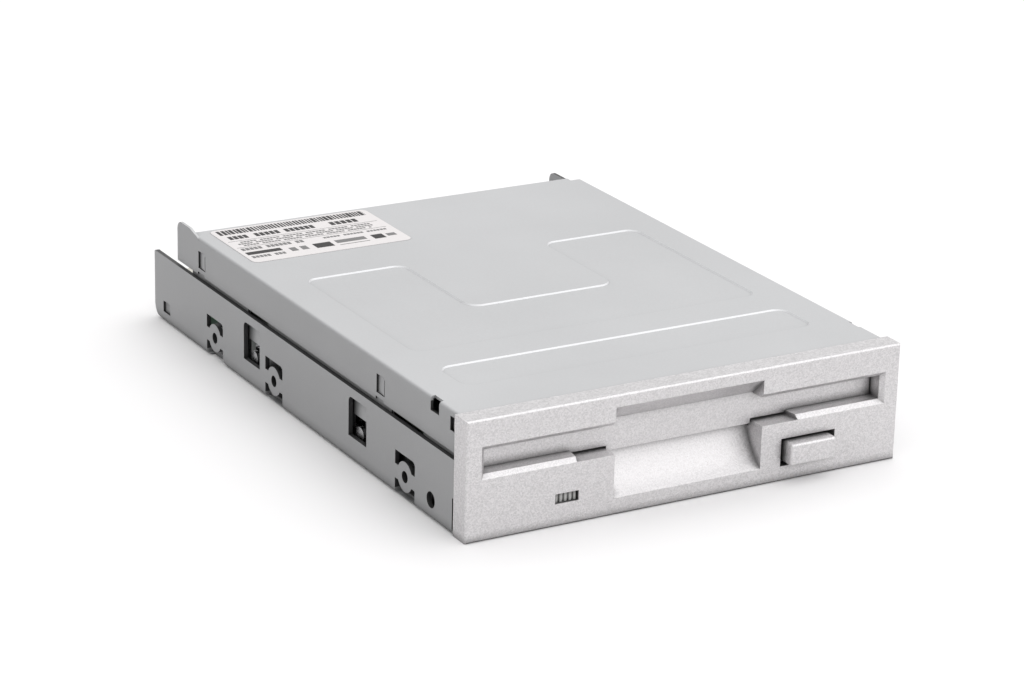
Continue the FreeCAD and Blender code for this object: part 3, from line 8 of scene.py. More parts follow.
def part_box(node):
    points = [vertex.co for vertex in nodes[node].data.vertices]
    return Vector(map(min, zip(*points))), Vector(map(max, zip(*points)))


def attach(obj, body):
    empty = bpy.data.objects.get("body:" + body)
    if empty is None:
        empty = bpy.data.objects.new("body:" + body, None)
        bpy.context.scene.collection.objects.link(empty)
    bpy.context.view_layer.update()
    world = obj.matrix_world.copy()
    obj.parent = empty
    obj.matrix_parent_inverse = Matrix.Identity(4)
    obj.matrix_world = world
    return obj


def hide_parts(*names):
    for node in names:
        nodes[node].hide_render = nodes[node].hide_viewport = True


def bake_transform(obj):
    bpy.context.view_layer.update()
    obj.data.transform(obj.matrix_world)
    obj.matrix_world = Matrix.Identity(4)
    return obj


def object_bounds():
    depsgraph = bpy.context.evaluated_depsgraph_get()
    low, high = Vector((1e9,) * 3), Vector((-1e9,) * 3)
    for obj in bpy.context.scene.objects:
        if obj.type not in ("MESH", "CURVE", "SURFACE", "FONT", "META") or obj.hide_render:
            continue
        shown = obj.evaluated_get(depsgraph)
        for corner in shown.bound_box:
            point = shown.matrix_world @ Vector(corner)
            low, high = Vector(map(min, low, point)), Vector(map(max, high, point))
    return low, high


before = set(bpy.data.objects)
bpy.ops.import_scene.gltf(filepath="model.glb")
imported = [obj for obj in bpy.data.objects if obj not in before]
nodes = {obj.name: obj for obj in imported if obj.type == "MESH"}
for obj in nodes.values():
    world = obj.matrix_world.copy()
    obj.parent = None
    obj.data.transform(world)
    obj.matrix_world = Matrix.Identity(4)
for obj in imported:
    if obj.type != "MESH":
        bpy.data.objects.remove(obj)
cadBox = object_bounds()
print("frame loaded,", len(nodes), "nodes")

mm = 0.001
buttonProud = 2.8  # how far the button stands out of the bezel's face, mm
lengthShift = cadBox[0][1] / mm + buttonProud  # puts the bezel's face in the frame, mm


# a point given as on the drawing: x right, y back from the bezel's face, z up, all in mm
def at(x, y, z):
    return Vector((x * mm, (y + lengthShift) * mm, z * mm))


# the camera stands where the picture was taken from
cameraView = {
    "place": (-339.585, -516.496, 256.511),  # mm, y from the bezel's face
    "yaw": -0.523587,
    "pitch": 0.347199,
    "roll": 0.0253134,
    "lens": 117.02,
    "sensor": 36.0,
    "nearest": 0.01,  # m
}


def placeCamera(view):
    yaw, pitch, roll = view["yaw"], view["pitch"], view["roll"]
    forward = Vector((-math.sin(yaw) * math.cos(pitch), math.cos(yaw) * math.cos(pitch), -math.sin(pitch)))
    side = Vector((math.cos(yaw), math.sin(yaw), 0))
    up = side.cross(forward)
    right = side * math.cos(roll) + up * math.sin(roll)
    top = up * math.cos(roll) - side * math.sin(roll)
    camera = bpy.data.objects.new("camera", bpy.data.cameras.new("camera"))
    camera.data.lens = view["lens"]
    camera.data.sensor_width = view["sensor"]
    camera.data.clip_start = view["nearest"]
    turn = Matrix((right, top, -forward)).transposed().to_4x4()
    camera.matrix_world = Matrix.Translation(at(*view["place"])) @ turn
    bpy.context.scene.collection.objects.link(camera)
    bpy.context.scene.camera = camera


placeCamera(cameraView)
print("camera placed")


# one node, with its plain values and its links
def addNode(material, kind, values=None, **settings):
    node = material.node_tree.nodes.new(kind)
    for key, value in settings.items():
        setattr(node, key, value)
    for socket, value in (values or {}).items():
        if isinstance(value, bpy.types.NodeSocket):
            material.node_tree.links.new(value, node.inputs[socket])
        else:
            node.inputs[socket].default_value = value
    return node


def newMaterial(name):
    material = bpy.data.materials.new(name)
    material.use_nodes = True
    material.node_tree.nodes.clear()
    output = addNode(material, "ShaderNodeOutputMaterial")
    shader = addNode(material, "ShaderNodeBsdfPrincipled")
    material.node_tree.links.new(shader.outputs[0], output.inputs[0])
    return material, shader


def join(material, source, shader, socket):
    material.node_tree.links.new(source, shader.inputs[socket])


def noise(material, scale, detail=2.0, stretch=(1, 1, 1), roughness=0.5):
    place = addNode(material, "ShaderNodeTexCoord").outputs["Object"]
    if stretch != (1, 1, 1):
        place = addNode(material, "ShaderNodeMapping", {"Vector": place, "Scale": stretch}).outputs[0]
    values = {"Vector": place, "Scale": scale, "Detail": detail, "Roughness": roughness}
    return addNode(material, "ShaderNodeTexNoise", values).outputs["Fac"]


def ramp(material, factor, low, high, start=0.35, end=0.65):
    node = addNode(material, "ShaderNodeValToRGB", {"Fac": factor})
    first, last = node.color_ramp.elements
    first.position, first.color = start, (*low, 1)
    last.position, last.color = end, (*high, 1)
    return node.outputs["Color"]


def spread(material, factor, low, high):
    values = {"Value": factor, "To Min": low, "To Max": high}
    return addNode(material, "ShaderNodeMapRange", values).outputs["Result"]


def calc(material, operation, first, second=0.0, third=0.0):
    values = {0: first, 1: second, 2: third}
    return addNode(material, "ShaderNodeMath", values, operation=operation).outputs[0]


def softEdge(material, shader, height, strength, distance, radius):
    values = {"Radius": radius * mm}
    edge = addNode(material, "ShaderNodeBevel", values, samples=4).outputs[0]
    bump = addNode(material, "ShaderNodeBump",
                   {"Height": height, "Strength": strength, "Distance": distance * mm, "Normal": edge})
    join(material, bump.outputs[0], shader, "Normal")


def shade(colour, factor):
    return tuple(min(1.0, part * factor) for part in colour)


def scaled(material, colour, factor):
    values = {0: colour, "Scale": factor}
    return addNode(material, "ShaderNodeVectorMath", values, operation="SCALE").outputs[0]


shadeFall = 1.4  # how fast the tone falls as a gap narrows


# painted shade: near 1 in the open and near the least in narrow gaps
def paintedGapShade(material, reach, least):
    node = addNode(material, "ShaderNodeAmbientOcclusion", {"Distance": reach * mm}, samples=8)
    return spread(material, calc(material, "POWER", node.outputs["AO"], shadeFall), least, 1.0)


def partsOf(material, vector):
    return addNode(material, "ShaderNodeSeparateXYZ", {"Vector": vector}).outputs


def between(material, value, low, high):
    return calc(material, "MULTIPLY", calc(material, "GREATER_THAN", value, low),
                calc(material, "LESS_THAN", value, high))


# matt zinc-coated sheet: soft clouds, a fine spangle and faint rolling lines along the drive;
# painted shade darkens the bent sides and narrow gaps, the sheared edges are darker bare steel with painted shade
# on them, and the pressed lines carry painted shade, with a painted highlight on the slopes that face front or left
def sheetMetal(name, look):
    material, shader = newMaterial(name)
    clouds = noise(material, look["cloudScale"], 3.0)
    grain = noise(material, look["grainScale"], 4.0, roughness=0.7)
    lines = noise(material, look["lineScale"], 2.0, stretch=(1, 0.02, 1))
    mixed = calc(material, "MULTIPLY_ADD", clouds, 0.5, calc(material, "MULTIPLY", grain, 0.5))
    colour = ramp(material, mixed, shade(look["colour"], 0.96), shade(look["colour"], 1.04))
    tone = paintedGapShade(material, look["reach"], look["least"])
    if look["edges"]:
        tone = calc(material, "MULTIPLY", tone, paintedShadeAndHighlight(material, look["edges"]))
    join(material, scaled(material, colour, tone), shader, "Base Color")
    rough = spread(material, grain, look["roughness"] - 0.06, look["roughness"] + 0.06)
    join(material, rough, shader, "Roughness")
    shader.inputs["Metallic"].default_value = look["metallic"]
    height = calc(material, "ADD", grain, calc(material, "MULTIPLY", lines, 0.6))
    softEdge(material, shader, height, look["bump"], 0.02, look["edge"])
    return material


# painted shade and highlight for the sheet; the sheared edges lie in the walls and flanges, outside "wall" and between
# "low" and "high";
# the pressed lines lie on the lid, within "lid" and above "high", in mm
def paintedShadeAndHighlight(material, look):
    space = addNode(material, "ShaderNodeTexCoord").outputs
    x, _, z = partsOf(material, space["Object"])
    nx, ny, nz = partsOf(material, space["Normal"])
    across = calc(material, "ABSOLUTE", x)
    sideways = calc(material, "ABSOLUTE", nx)
    # painted shade: the bent sides, facing across, are made darker by "sides"
    sides = calc(material, "MULTIPLY_ADD", calc(material, "POWER", sideways, 2.0), -look["sides"], 1.0)
    inWall = calc(material, "MULTIPLY", between(material, across, look["wall"] * mm, look["outside"] * mm),
                  between(material, z, look["low"] * mm, look["high"] * mm))
    # sheared edges: darker bare steel and painted shade, as one low tone
    shearedSteelAndShade = calc(material, "MULTIPLY", inWall, calc(material, "LESS_THAN", sideways, 0.4))
    shearedSteelAndShadeTone = calc(material, "MULTIPLY_ADD", shearedSteelAndShade, look["shearedSteelAndShade"] - 1.0, 1.0)
    onLid = calc(material, "MULTIPLY", calc(material, "LESS_THAN", across, look["lid"] * mm),
                 calc(material, "GREATER_THAN", z, look["high"] * mm))
    # pressed lines: painted shade on their slopes, and a painted highlight on the slopes that face front or left
    pressed = calc(material, "MULTIPLY", onLid, between(material, nz, 0.3, 0.97))
    forward = calc(material, "LESS_THAN", calc(material, "MINIMUM", nx, ny), -0.2)
    paintedHighlight = calc(material, "MULTIPLY_ADD", forward, look["paintedHighlight"] - look["pressed"], look["pressed"] - 1.0)
    lineTone = calc(material, "MULTIPLY_ADD", pressed, paintedHighlight, 1.0)
    return calc(material, "MULTIPLY", sides, calc(material, "MULTIPLY", shearedSteelAndShadeTone, lineTone))


# silver paint over a grained moulding: flakes that catch the light one by one, with painted shade in gaps
def fleckPaint(name, look):
    material, shader = newMaterial(name)
    place = addNode(material, "ShaderNodeTexCoord").outputs["Object"]
    flakes = addNode(material, "ShaderNodeTexVoronoi", {"Vector": place, "Scale": look["flakeScale"]})
    bright = addNode(material, "ShaderNodeSeparateColor", {"Color": flakes.outputs["Color"]}).outputs[0]
    grain = noise(material, look["grainScale"], 3.0, roughness=0.6)
    tone = calc(material, "MULTIPLY_ADD", bright, 0.5, calc(material, "MULTIPLY", grain, 0.5))
    colour = ramp(material, tone, shade(look["colour"], 1 - look["contrast"]),
                  shade(look["colour"], 1 + look["contrast"]), 0.2, 0.8)
    paintedShadeColour = scaled(material, colour, paintedGapShade(material, look["reach"], look["least"]))
    join(material, paintedShadeColour, shader, "Base Color")
    rough = spread(material, bright, look["roughness"] - 0.08, look["roughness"] + 0.1)
    join(material, rough, shader, "Roughness")
    shader.inputs["Metallic"].default_value = look["metallic"]
    height = calc(material, "MULTIPLY_ADD", grain, 0.8, calc(material, "MULTIPLY", bright, 0.3))
    softEdge(material, shader, height, look["bump"], 0.03, look["edge"])
    return material


# painted shade for the parts inside the drive
innerShade = (14.0, 0.12)  # how far the parts inside look for daylight, mm, and their least tone


# moulded plastic: a fine eroded grain and slight flow clouds, with painted shade in gaps
def moulded(name, look):
    material, shader = newMaterial(name)
    grain = noise(material, look.get("grainScale", 1800), 3.0)
    clouds = noise(material, 90, 2.0)
    colour = ramp(material, clouds, shade(look["colour"], 0.9), shade(look["colour"], 1.12), 0.3, 0.7)
    join(material, scaled(material, colour, paintedGapShade(material, *innerShade)), shader, "Base Color")
    rough = spread(material, grain, look["roughness"] - 0.08, look["roughness"] + 0.08)
    join(material, rough, shader, "Roughness")
    softEdge(material, shader, grain, look.get("bump", 0.15), 0.02, look.get("edge", 0.08))
    return material


# ground or drawn metal: fine rings or lines, stretched along or round the piece, with painted shade in gaps
def machined(name, look):
    material, shader = newMaterial(name)
    lines = noise(material, look.get("lineScale", 2500), 3.0, stretch=look.get("stretch", (1, 1, 1)))
    clouds = noise(material, 120, 2.0)
    colour = ramp(material, clouds, shade(look["colour"], 0.9), shade(look["colour"], 1.08), 0.3, 0.7)
    join(material, scaled(material, colour, paintedGapShade(material, *innerShade)), shader, "Base Color")
    rough = spread(material, lines, look["roughness"] - 0.07, look["roughness"] + 0.1)
    join(material, rough, shader, "Roughness")
    shader.inputs["Metallic"].default_value = look.get("metallic", 1.0)
    softEdge(material, shader, lines, look.get("bump", 0.12), 0.01, look.get("edge", 0.06))
    return material


# varnished board: tracks on a grid of lanes, round pads, and bare laminate between them, with painted shade in gaps
def circuitBoard(name, look):
    material, shader = newMaterial(name)
    place = addNode(material, "ShaderNodeTexCoord").outputs["Object"]
    lanes = addNode(material, "ShaderNodeTexBrick",
                    {"Vector": place, "Scale": look["laneScale"], "Mortar Size": 0.03, "Mortar Smooth": 0.1,
                     "Brick Width": 2.3, "Row Height": 0.24}, offset=0.37).outputs["Fac"]
    quarter = {"Vector": place, "Rotation": (0, 0, math.pi / 2)}
    turned = addNode(material, "ShaderNodeMapping", quarter).outputs[0]
    crossing = addNode(material, "ShaderNodeTexBrick",
                       {"Vector": turned, "Scale": look["laneScale"] * 0.7, "Mortar Size": 0.025,
                        "Mortar Smooth": 0.1, "Brick Width": 1.7, "Row Height": 0.31}, offset=0.61).outputs["Fac"]
    tracks = calc(material, "MAXIMUM", lanes, crossing)
    dots = addNode(material, "ShaderNodeTexVoronoi", {"Vector": place, "Scale": look["padScale"]})
    pads = calc(material, "LESS_THAN", dots.outputs["Distance"], look["padSize"])
    green = ramp(material, tracks, look["colour"], look["track"], 0.1, 0.6)
    mixed = addNode(material, "ShaderNodeMix", {0: pads, 6: green, 7: (*look["pad"], 1)}, data_type="RGBA")
    colour = scaled(material, mixed.outputs[2], paintedGapShade(material, *innerShade))
    join(material, colour, shader, "Base Color")
    shader.inputs["Roughness"].default_value = look["roughness"]
    softEdge(material, shader, calc(material, "ADD", tracks, pads), 0.4, 0.02, 0.05)
    return material


# windings: fine copper turns side by side
def wound(name, look):
    material, shader = newMaterial(name)
    place = addNode(material, "ShaderNodeTexCoord").outputs["Object"]
    values = {"Vector": place, "Scale": look["turnScale"], "Distortion": 0.6}
    turns = addNode(material, "ShaderNodeTexWave", values, wave_type="RINGS", rings_direction="Z").outputs["Fac"]
    colour = ramp(material, turns, shade(look["colour"], 0.6), look["colour"], 0.1, 0.7)
    join(material, colour, shader, "Base Color")
    shader.inputs["Metallic"].default_value = 0.85
    shader.inputs["Roughness"].default_value = look["roughness"]
    softEdge(material, shader, turns, 0.5, 0.04, 0.1)
    return material


# flat film cable: conductors show as paler stripes along it
def filmCable(name, look):
    material, shader = newMaterial(name)
    place = addNode(material, "ShaderNodeTexCoord").outputs["Object"]
    stripes = addNode(material, "ShaderNodeTexWave", {"Vector": place, "Scale": look["stripeScale"]},
                      wave_type="BANDS", bands_direction="X").outputs["Fac"]
    colour = ramp(material, stripes, look["colour"], look["stripe"], 0.35, 0.6)
    join(material, colour, shader, "Base Color")
    shader.inputs["Roughness"].default_value = look["roughness"]
    softEdge(material, shader, stripes, 0.3, 0.03, 0.05)
    return material


# clear window: smooth, slightly grey, with painted shade in its gaps
def clearPlastic(name, look):
    material, shader = newMaterial(name)
    grain = noise(material, 600, 2.0)
    colour = ramp(material, grain, shade(look["colour"], 0.94), look["colour"])
    paintedShadeColour = scaled(material, colour, paintedGapShade(material, look["reach"], look["least"]))
    join(material, paintedShadeColour, shader, "Base Color")
    shader.inputs["Transmission Weight"].default_value = look["clear"]
    shader.inputs["IOR"].default_value = look["ior"]
    join(material, spread(material, grain, 0.03, 0.09), shader, "Roughness")
    return material


# paper label: a little fibre in the white
def paper(name, look):
    material, shader = newMaterial(name)
    fibre = noise(material, look["fibreScale"], 4.0)
    colour = ramp(material, fibre, shade(look["colour"], 0.97), look["colour"])
    join(material, colour, shader, "Base Color")
    shader.inputs["Roughness"].default_value = look["roughness"]
    softEdge(material, shader, fibre, 0.06, 0.01, 0.03)
    return material


# "reach" and "least" set the painted shade in gaps, in mm and as the least tone; "edges" sets the painted shade and
# highlight on the sheet
finishes = {
    "platedSheet": sheetMetal("platedSheet", {
        "colour": (0.555, 0.558, 0.566), "metallic": 0.25, "roughness": 0.46, "cloudScale": 30,
        "grainScale": 1900, "lineScale": 900, "bump": 0.04, "edge": 0.08, "reach": 3.0, "least": 0.2,
        "edges": {"wall": 49.35, "outside": 60, "low": 1.3, "high": 24.2, "lid": 48.8,
                  "sides": 0.28, "shearedSteelAndShade": 0.12, "pressed": 0.8, "paintedHighlight": 1.6}}),
    "innerSheet": sheetMetal("innerSheet", {
        "colour": (0.50, 0.505, 0.51), "metallic": 0.5, "roughness": 0.38, "cloudScale": 60,
        "grainScale": 1900, "lineScale": 1200, "bump": 0.06, "edge": 0.08, "reach": 8.0, "least": 0.1, "edges": None}),
    "silverPaint": fleckPaint("silverPaint", {
        "colour": (0.68, 0.666, 0.673), "metallic": 0.74, "roughness": 0.42, "flakeScale": 3800,
        "grainScale": 4300, "contrast": 0.16, "bump": 1.0, "edge": 0.09, "reach": 2.0, "least": 0.14}),
    "label": paper("label", {"colour": (0.78, 0.75, 0.748), "roughness": 0.42, "fibreScale": 2500}),
    "labelInk": paper("labelInk", {"colour": (0.022, 0.02, 0.02), "roughness": 0.5, "fibreScale": 2500}),
    "labelGreyInk": paper("labelGreyInk", {"colour": (0.19, 0.186, 0.186), "roughness": 0.5,
                                           "fibreScale": 2500}),
    "clear": clearPlastic("clear", {"colour": (0.92, 0.92, 0.90), "clear": 0.3, "ior": 1.49, "reach": 0.9,
                                    "least": 0.02}),
    "lampResin": moulded("lampResin", {"colour": (0.20, 0.42, 0.10), "roughness": 0.25}),
    "springSteel": machined("springSteel", {"colour": (0.58, 0.58, 0.59), "roughness": 0.28}),
    "turnedSteel": machined("turnedSteel", {"colour": (0.64, 0.64, 0.65), "roughness": 0.26,
                                            "stretch": (0.05, 1, 1), "lineScale": 3000}),
    "screwSteel": machined("screwSteel", {"colour": (0.48, 0.48, 0.50), "roughness": 0.35}),
    "board": circuitBoard("board", {"colour": (0.007, 0.05, 0.021), "track": (0.018, 0.095, 0.042),
                                    "pad": (0.55, 0.53, 0.45), "laneScale": 260, "padScale": 330,
                                    "padSize": 0.16, "roughness": 0.3}),
    "chip": moulded("chip", {"colour": (0.022, 0.022, 0.024), "roughness": 0.55}),
    "lamination": machined("lamination", {"colour": (0.16, 0.16, 0.17), "roughness": 0.5, "metallic": 0.7,
                                          "stretch": (0.1, 0.1, 3)}),
    "copper": wound("copper", {"colour": (0.60, 0.24, 0.10), "turnScale": 1500, "roughness": 0.35}),
    "bearing": machined("bearing", {"colour": (0.58, 0.42, 0.20), "roughness": 0.4}),
    "rotorSteel": machined("rotorSteel", {"colour": (0.55, 0.55, 0.56), "roughness": 0.3}),
    "magnet": moulded("magnet", {"colour": (0.05, 0.047, 0.046), "roughness": 0.6}),
    "hubMetal": machined("hubMetal", {"colour": (0.68, 0.68, 0.70), "roughness": 0.3}),
    "blackPlastic": moulded("blackPlastic", {"colour": (0.022, 0.022, 0.022), "roughness": 0.45}),
    "palePlastic": moulded("palePlastic", {"colour": (0.72, 0.70, 0.64), "roughness": 0.45}),
    "greyPlastic": moulded("greyPlastic", {"colour": (0.06, 0.06, 0.068), "roughness": 0.5}),
    "ceramic": moulded("ceramic", {"colour": (0.10, 0.09, 0.08), "roughness": 0.18}),
    "motorCase": machined("motorCase", {"colour": (0.55, 0.55, 0.57), "roughness": 0.32,
                                        "stretch": (1, 0.05, 1)}),
    "contact": machined("contact", {"colour": (0.78, 0.58, 0.24), "roughness": 0.25}),
    "film": filmCable("film", {"colour": (0.62, 0.60, 0.54), "stripe": (0.42, 0.36, 0.26),
                               "stripeScale": 320, "roughness": 0.4}),
}

finishOf = {
    "platedSheet": ["main_frame", "top_cover"],
    "innerSheet": ["eject_slider", "disk_holder", "shutter_lever", "stepper_bracket"],
    "silverPaint": ["front_bezel", "eject_button", "slot_door"],
    "label": ["rating_label"],
    "clear": ["lamp_window"],
    "lampResin": ["lamp"],
    "springSteel": ["pressure_springs"],
    "turnedSteel": ["holder_pins", "guide_posts", "guide_rod", "hinge_pin", "lever_rivet", "spindle_shaft",
                    "drive_pin", "screw_follower"],
    "screwSteel": ["motor_board_screws", "bracket_screws", "main_board_screws"],
    "board": ["motor_board", "main_board"],
    "chip": ["motor_driver", "controller_chip", "board_chips", "track_zero_sensor"],
    "lamination": ["stator_core"],
    "copper": ["stator_coils"],
    "bearing": ["spindle_bearing"],
    "rotorSteel": ["rotor_cup"],
    "magnet": ["rotor_magnet", "stepper_rotor"],
    "hubMetal": ["hub_table", "board_capacitors"],
    "blackPlastic": ["switch_blocks", "data_socket"],
    "palePlastic": ["write_protect_plunger", "disk_in_plunger", "density_plunger", "power_socket",
                    "screw_bearing"],
    "greyPlastic": ["head_carriage", "rod_posts", "upper_head_arm"],
    "ceramic": ["lower_head", "upper_head"],
    "motorCase": ["stepper_motor"],
    "contact": ["data_pins", "power_pins"],
    "film": ["board_ribbon"],
}


def paint(thing, finish):
    thing.data.materials.clear()
    thing.data.materials.append(finishes[finish])


for finish, names in finishOf.items():
    for name in names:
        paint(nodes[name], finish)
print("finishes on the frame's nodes")


# a new piece with its finish, its body and its material slot
def meshPiece(name, mesh, finish, body):
    thing = bpy.data.objects.new(name, mesh)
    bpy.context.scene.collection.objects.link(thing)
    paint(thing, finish)
    if body:
        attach(thing, body)
    return thing


def emptyMesh(name, build, smooth=False):
    shell = bmesh.new()
    build(shell)
    mesh = bpy.data.meshes.new(name)
    bmesh.ops.recalc_face_normals(shell, faces=shell.faces)
    shell.to_mesh(mesh)
    shell.free()
    for face in mesh.polygons:
        face.use_smooth = smooth
    return mesh


def addBlock(shell, low, high):
    corners = [Vector((x, y, z)) for x in (low.x, high.x) for y in (low.y, high.y) for z in (low.z, high.z)]
    made = [shell.verts.new(corner) for corner in corners]
    for face in ((0, 1, 3, 2), (4, 6, 7, 5), (0, 4, 5, 1), (2, 3, 7, 6), (0, 2, 6, 4), (1, 5, 7, 3)):
        shell.faces.new([made[index] for index in face])


# a wire through a list of points, as a mesh
def wireMesh(name, points, radius, sides=8):
    curve = bpy.data.curves.new(name, "CURVE")
    curve.dimensions = "3D"
    curve.bevel_depth = radius
    curve.bevel_resolution = max(1, sides // 4)
    curve.use_fill_caps = True
    line = curve.splines.new("POLY")
    line.points.add(len(points) - 1)
    for entry, point in zip(line.points, points):
        entry.co = (*point, 1)
    holder = bpy.data.objects.new(name, curve)
    bpy.context.scene.collection.objects.link(holder)
    mesh = bpy.data.meshes.new_from_object(holder.evaluated_get(bpy.context.evaluated_depsgraph_get()))
    bpy.data.objects.remove(holder)
    mesh.name = name
    for face in mesh.polygons:
        face.use_smooth = True
    return mesh


# points round an axis; along says where the coil's own axis points
def coilPoints(start, along, reach, radius, turns, stepsPerTurn=14, phase=0.0):
    along = along.normalized()
    side = along.orthogonal().normalized()
    other = along.cross(side)
    count = int(turns * stepsPerTurn)
    points = []
    for index in range(count + 1):
        share = index / count
        angle = phase + share * turns * 2 * math.pi
        outward = side * math.cos(angle) + other * math.sin(angle)
        points.append(start + along * reach * share + outward * radius)
    return points


# the lead screw, with its groove for the follower; the pitch is the carriage's travel for each turn, in mm
leadScrew = {"pitch": 3.75, "outer": 1.5, "core": 1.12, "journal": 1.0, "x": 20.0, "z": 8.5, "threadStart": 73.0,
             "threadEnd": 110.4, "start": 70.3, "end": 123.5, "grooveShare": 0.34, "sides": 40, "stepsPerTurn": 36}


def buildLeadScrew(shell):
    look = leadScrew
    rings = []
    length = look["threadEnd"] - look["threadStart"]
    count = int(length / look["pitch"] * look["stepsPerTurn"])
    stations = [(look["start"], 0.0), (look["threadStart"], 0.0)]
    stations += [(look["threadStart"] + length * index / count, 1.0) for index in range(count + 1)]
    stations += [(look["threadEnd"], 0.0), (look["end"], 0.0)]
    for y, threaded in stations:
        ring = []
        for step in range(look["sides"]):
            angle = 2 * math.pi * step / look["sides"]
            phase = (y / look["pitch"] + step / look["sides"]) % 1.0
            dip = max(0.0, 1 - abs(phase - 0.5) / (look["grooveShare"] / 2))
            radius = look["outer"] - (look["outer"] - look["core"]) * min(1.0, dip * 1.6)
            if not threaded:
                radius = look["journal"]
            ring.append(shell.verts.new(at(look["x"] + radius * math.cos(angle), y,
                                           look["z"] + radius * math.sin(angle))))
        rings.append(ring)
    for first, second in zip(rings, rings[1:]):
        for step in range(look["sides"]):
            after = (step + 1) % look["sides"]
            shell.faces.new((first[step], first[after], second[after], second[step]))
    shell.faces.new(rings[0])
    shell.faces.new(list(reversed(rings[-1])))


screwPiece = meshPiece("leadScrewThread", emptyMesh("leadScrewThread", buildLeadScrew), "turnedSteel", "screw")
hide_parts("lead_screw")
print("lead screw cut")

# the two long springs that pull the slider forward, in mm, and the angles round their end loops
ejectSpring = {"x": 43.2, "z": 4.2, "coilStart": 56.5, "coilEnd": 78.6, "coilRadius": 1.12, "wire": 0.17,
               "turns": 44, "postY": 52.3, "hookY": 80.5,
               "postLoop": (-2.2, -1.6, -1.0, -0.5, 0.0, 0.5, 1.0, 1.6),
               "hookLoop": (1.6, 1.0, 0.5, 0.0, -0.5, -1.0, -1.6)}


def hookedCoil(side):
    look = ejectSpring
    x = side * look["x"]
    coil = coilPoints(at(x, look["coilStart"], look["z"]), Vector((0, 1, 0)),
                      (look["coilEnd"] - look["coilStart"]) * mm, look["coilRadius"] * mm, look["turns"])
    front = [at(x + 0.5 * math.sin(angle), look["postY"] + 0.5 - 0.75 * math.cos(angle), look["z"])
             for angle in look["postLoop"]]
    back = [at(x - 0.5 * math.sin(angle), look["hookY"] - 0.4 + 0.55 * math.cos(angle), look["z"])
            for angle in look["hookLoop"]]
    neck = at(x, look["coilStart"] - 1.0, look["z"] + 0.4)
    tail = at(x, look["coilEnd"] + 0.7, look["z"])
    return front + [neck] + coil + [tail] + back


for side, word in ((-1, "Left"), (1, "Right")):
    coil = wireMesh("ejectSpring" + word, hookedCoil(side), ejectSpring["wire"] * mm, 6)
    spring = meshPiece("ejectSpring" + word, coil, "springSteel", None)
    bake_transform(spring)
    if side < 0:
        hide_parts("eject_springs")

smallSprings = {
    "doorSpring": {"node": "door_spring", "body": "frame", "axis": (1, 0, 0), "start": (46.47, 4.95, 19.6),
                   "reach": 0.56, "radius": 0.86, "turns": 3.5, "wire": 0.1},
    "leverSpring": {"node": "lever_spring", "body": "holder", "axis": (0, 0, 1), "start": (38.0, 88.0, 20.15),
                    "reach": 0.55, "radius": 3.2, "turns": 3.0, "wire": 0.14},
    "armSpring": {"node": "arm_spring", "body": "arm", "axis": (1, 0, 0), "start": (-5.4, 118.5, 17.0),
                  "reach": 2.6, "radius": 1.95, "turns": 6.5, "wire": 0.18},
}
for name, look in smallSprings.items():
    points = coilPoints(at(*look["start"]), Vector(look["axis"]), look["reach"] * mm, look["radius"] * mm,
                        look["turns"], 20)
    spring = meshPiece(name, wireMesh(name, points, look["wire"] * mm, 6), "springSteel", look["body"])
    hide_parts(look["node"])
print("springs wound")

# the label's print: stripes, thin rules and plain blocks, in mm from the label's left edge;
# each mark is front, back, left and right, and a row ends with the width of its blocks
labelPrint = {
    "left": -46.3, "thick": 0.02, "sunk": 0.01, "seed": 11, "blockShare": 0.78, "wordLength": 7, "wordGap": 5,
    "bars": {"front": 124.0, "back": 127.0, "left": 1.2, "right": 37.4,
             "widths": (0.4, 0.5, 0.5, 0.8), "gaps": (0.22, 0.26, 0.34)},
    "darkRows": [(120.4, 122.6, 2.0, 6.8, 1.15), (120.4, 122.6, 8.4, 24.4, 1.15),
                 (120.4, 122.6, 27.0, 35.4, 1.2)],
    "greyRows": [(117.7, 118.4, 3.2, 35.4, 0.8), (116.5, 117.2, 2.2, 36.2, 0.7), (115.3, 116.0, 3.0, 34.6, 0.75),
                 (112.3, 113.9, 1.2, 16.4, 1.0), (112.6, 113.5, 21.2, 37.0, 0.8), (106.8, 108.2, 1.2, 9.4, 0.9)],
    "dark": [(109.2, 111.0, 1.0, 9.4), (107.2, 110.2, 16.9, 21.2), (107.6, 110.4, 31.4, 34.2)],
    "grey": [(119.1, 119.25, 0.8, 37.6), (114.5, 114.65, 0.8, 37.6), (107.6, 110.0, 11.0, 12.6),
             (107.6, 110.0, 13.6, 15.2), (108.4, 110.4, 22.4, 29.8), (107.0, 107.3, 22.4, 29.8),
             (108.3, 110.0, 35.0, 37.2)],
}


# a row broken into short plain blocks of one width, with a gap after each few
def broken(row):
    look = labelPrint
    front, back, left, right, width = row
    count = max(1, int((right - left) / width))
    step = (right - left) / count
    return [(front, back, left + step * index, left + step * (index + look["blockShare"]))
            for index in range(count) if index % look["wordLength"] != look["wordGap"]]


def stripes(look, picker):
    marks = []
    x = look["left"]
    while x < look["right"]:
        width = picker.choice(look["widths"])
        marks.append((look["front"], look["back"], x, min(x + width, look["right"])))
        x += width + picker.choice(look["gaps"])
    return marks


def printMarks(shell, marks):
    look = labelPrint
    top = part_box("rating_label")[1].z / mm
    for front, back, left, right in marks:
        addBlock(shell, at(look["left"] + left, front, top - look["sunk"]),
                 at(look["left"] + right, back, top + look["thick"]))


labelMarks = {
    "labelInk": stripes(labelPrint["bars"], random.Random(labelPrint["seed"])) + labelPrint["dark"]
                + [mark for row in labelPrint["darkRows"] for mark in broken(row)],
    "labelGreyInk": labelPrint["grey"] + [mark for row in labelPrint["greyRows"] for mark in broken(row)],
}
for ink, marks in labelMarks.items():
    meshPiece(ink, emptyMesh(ink, lambda shell: printMarks(shell, marks)), ink, "frame")
print("label printed")

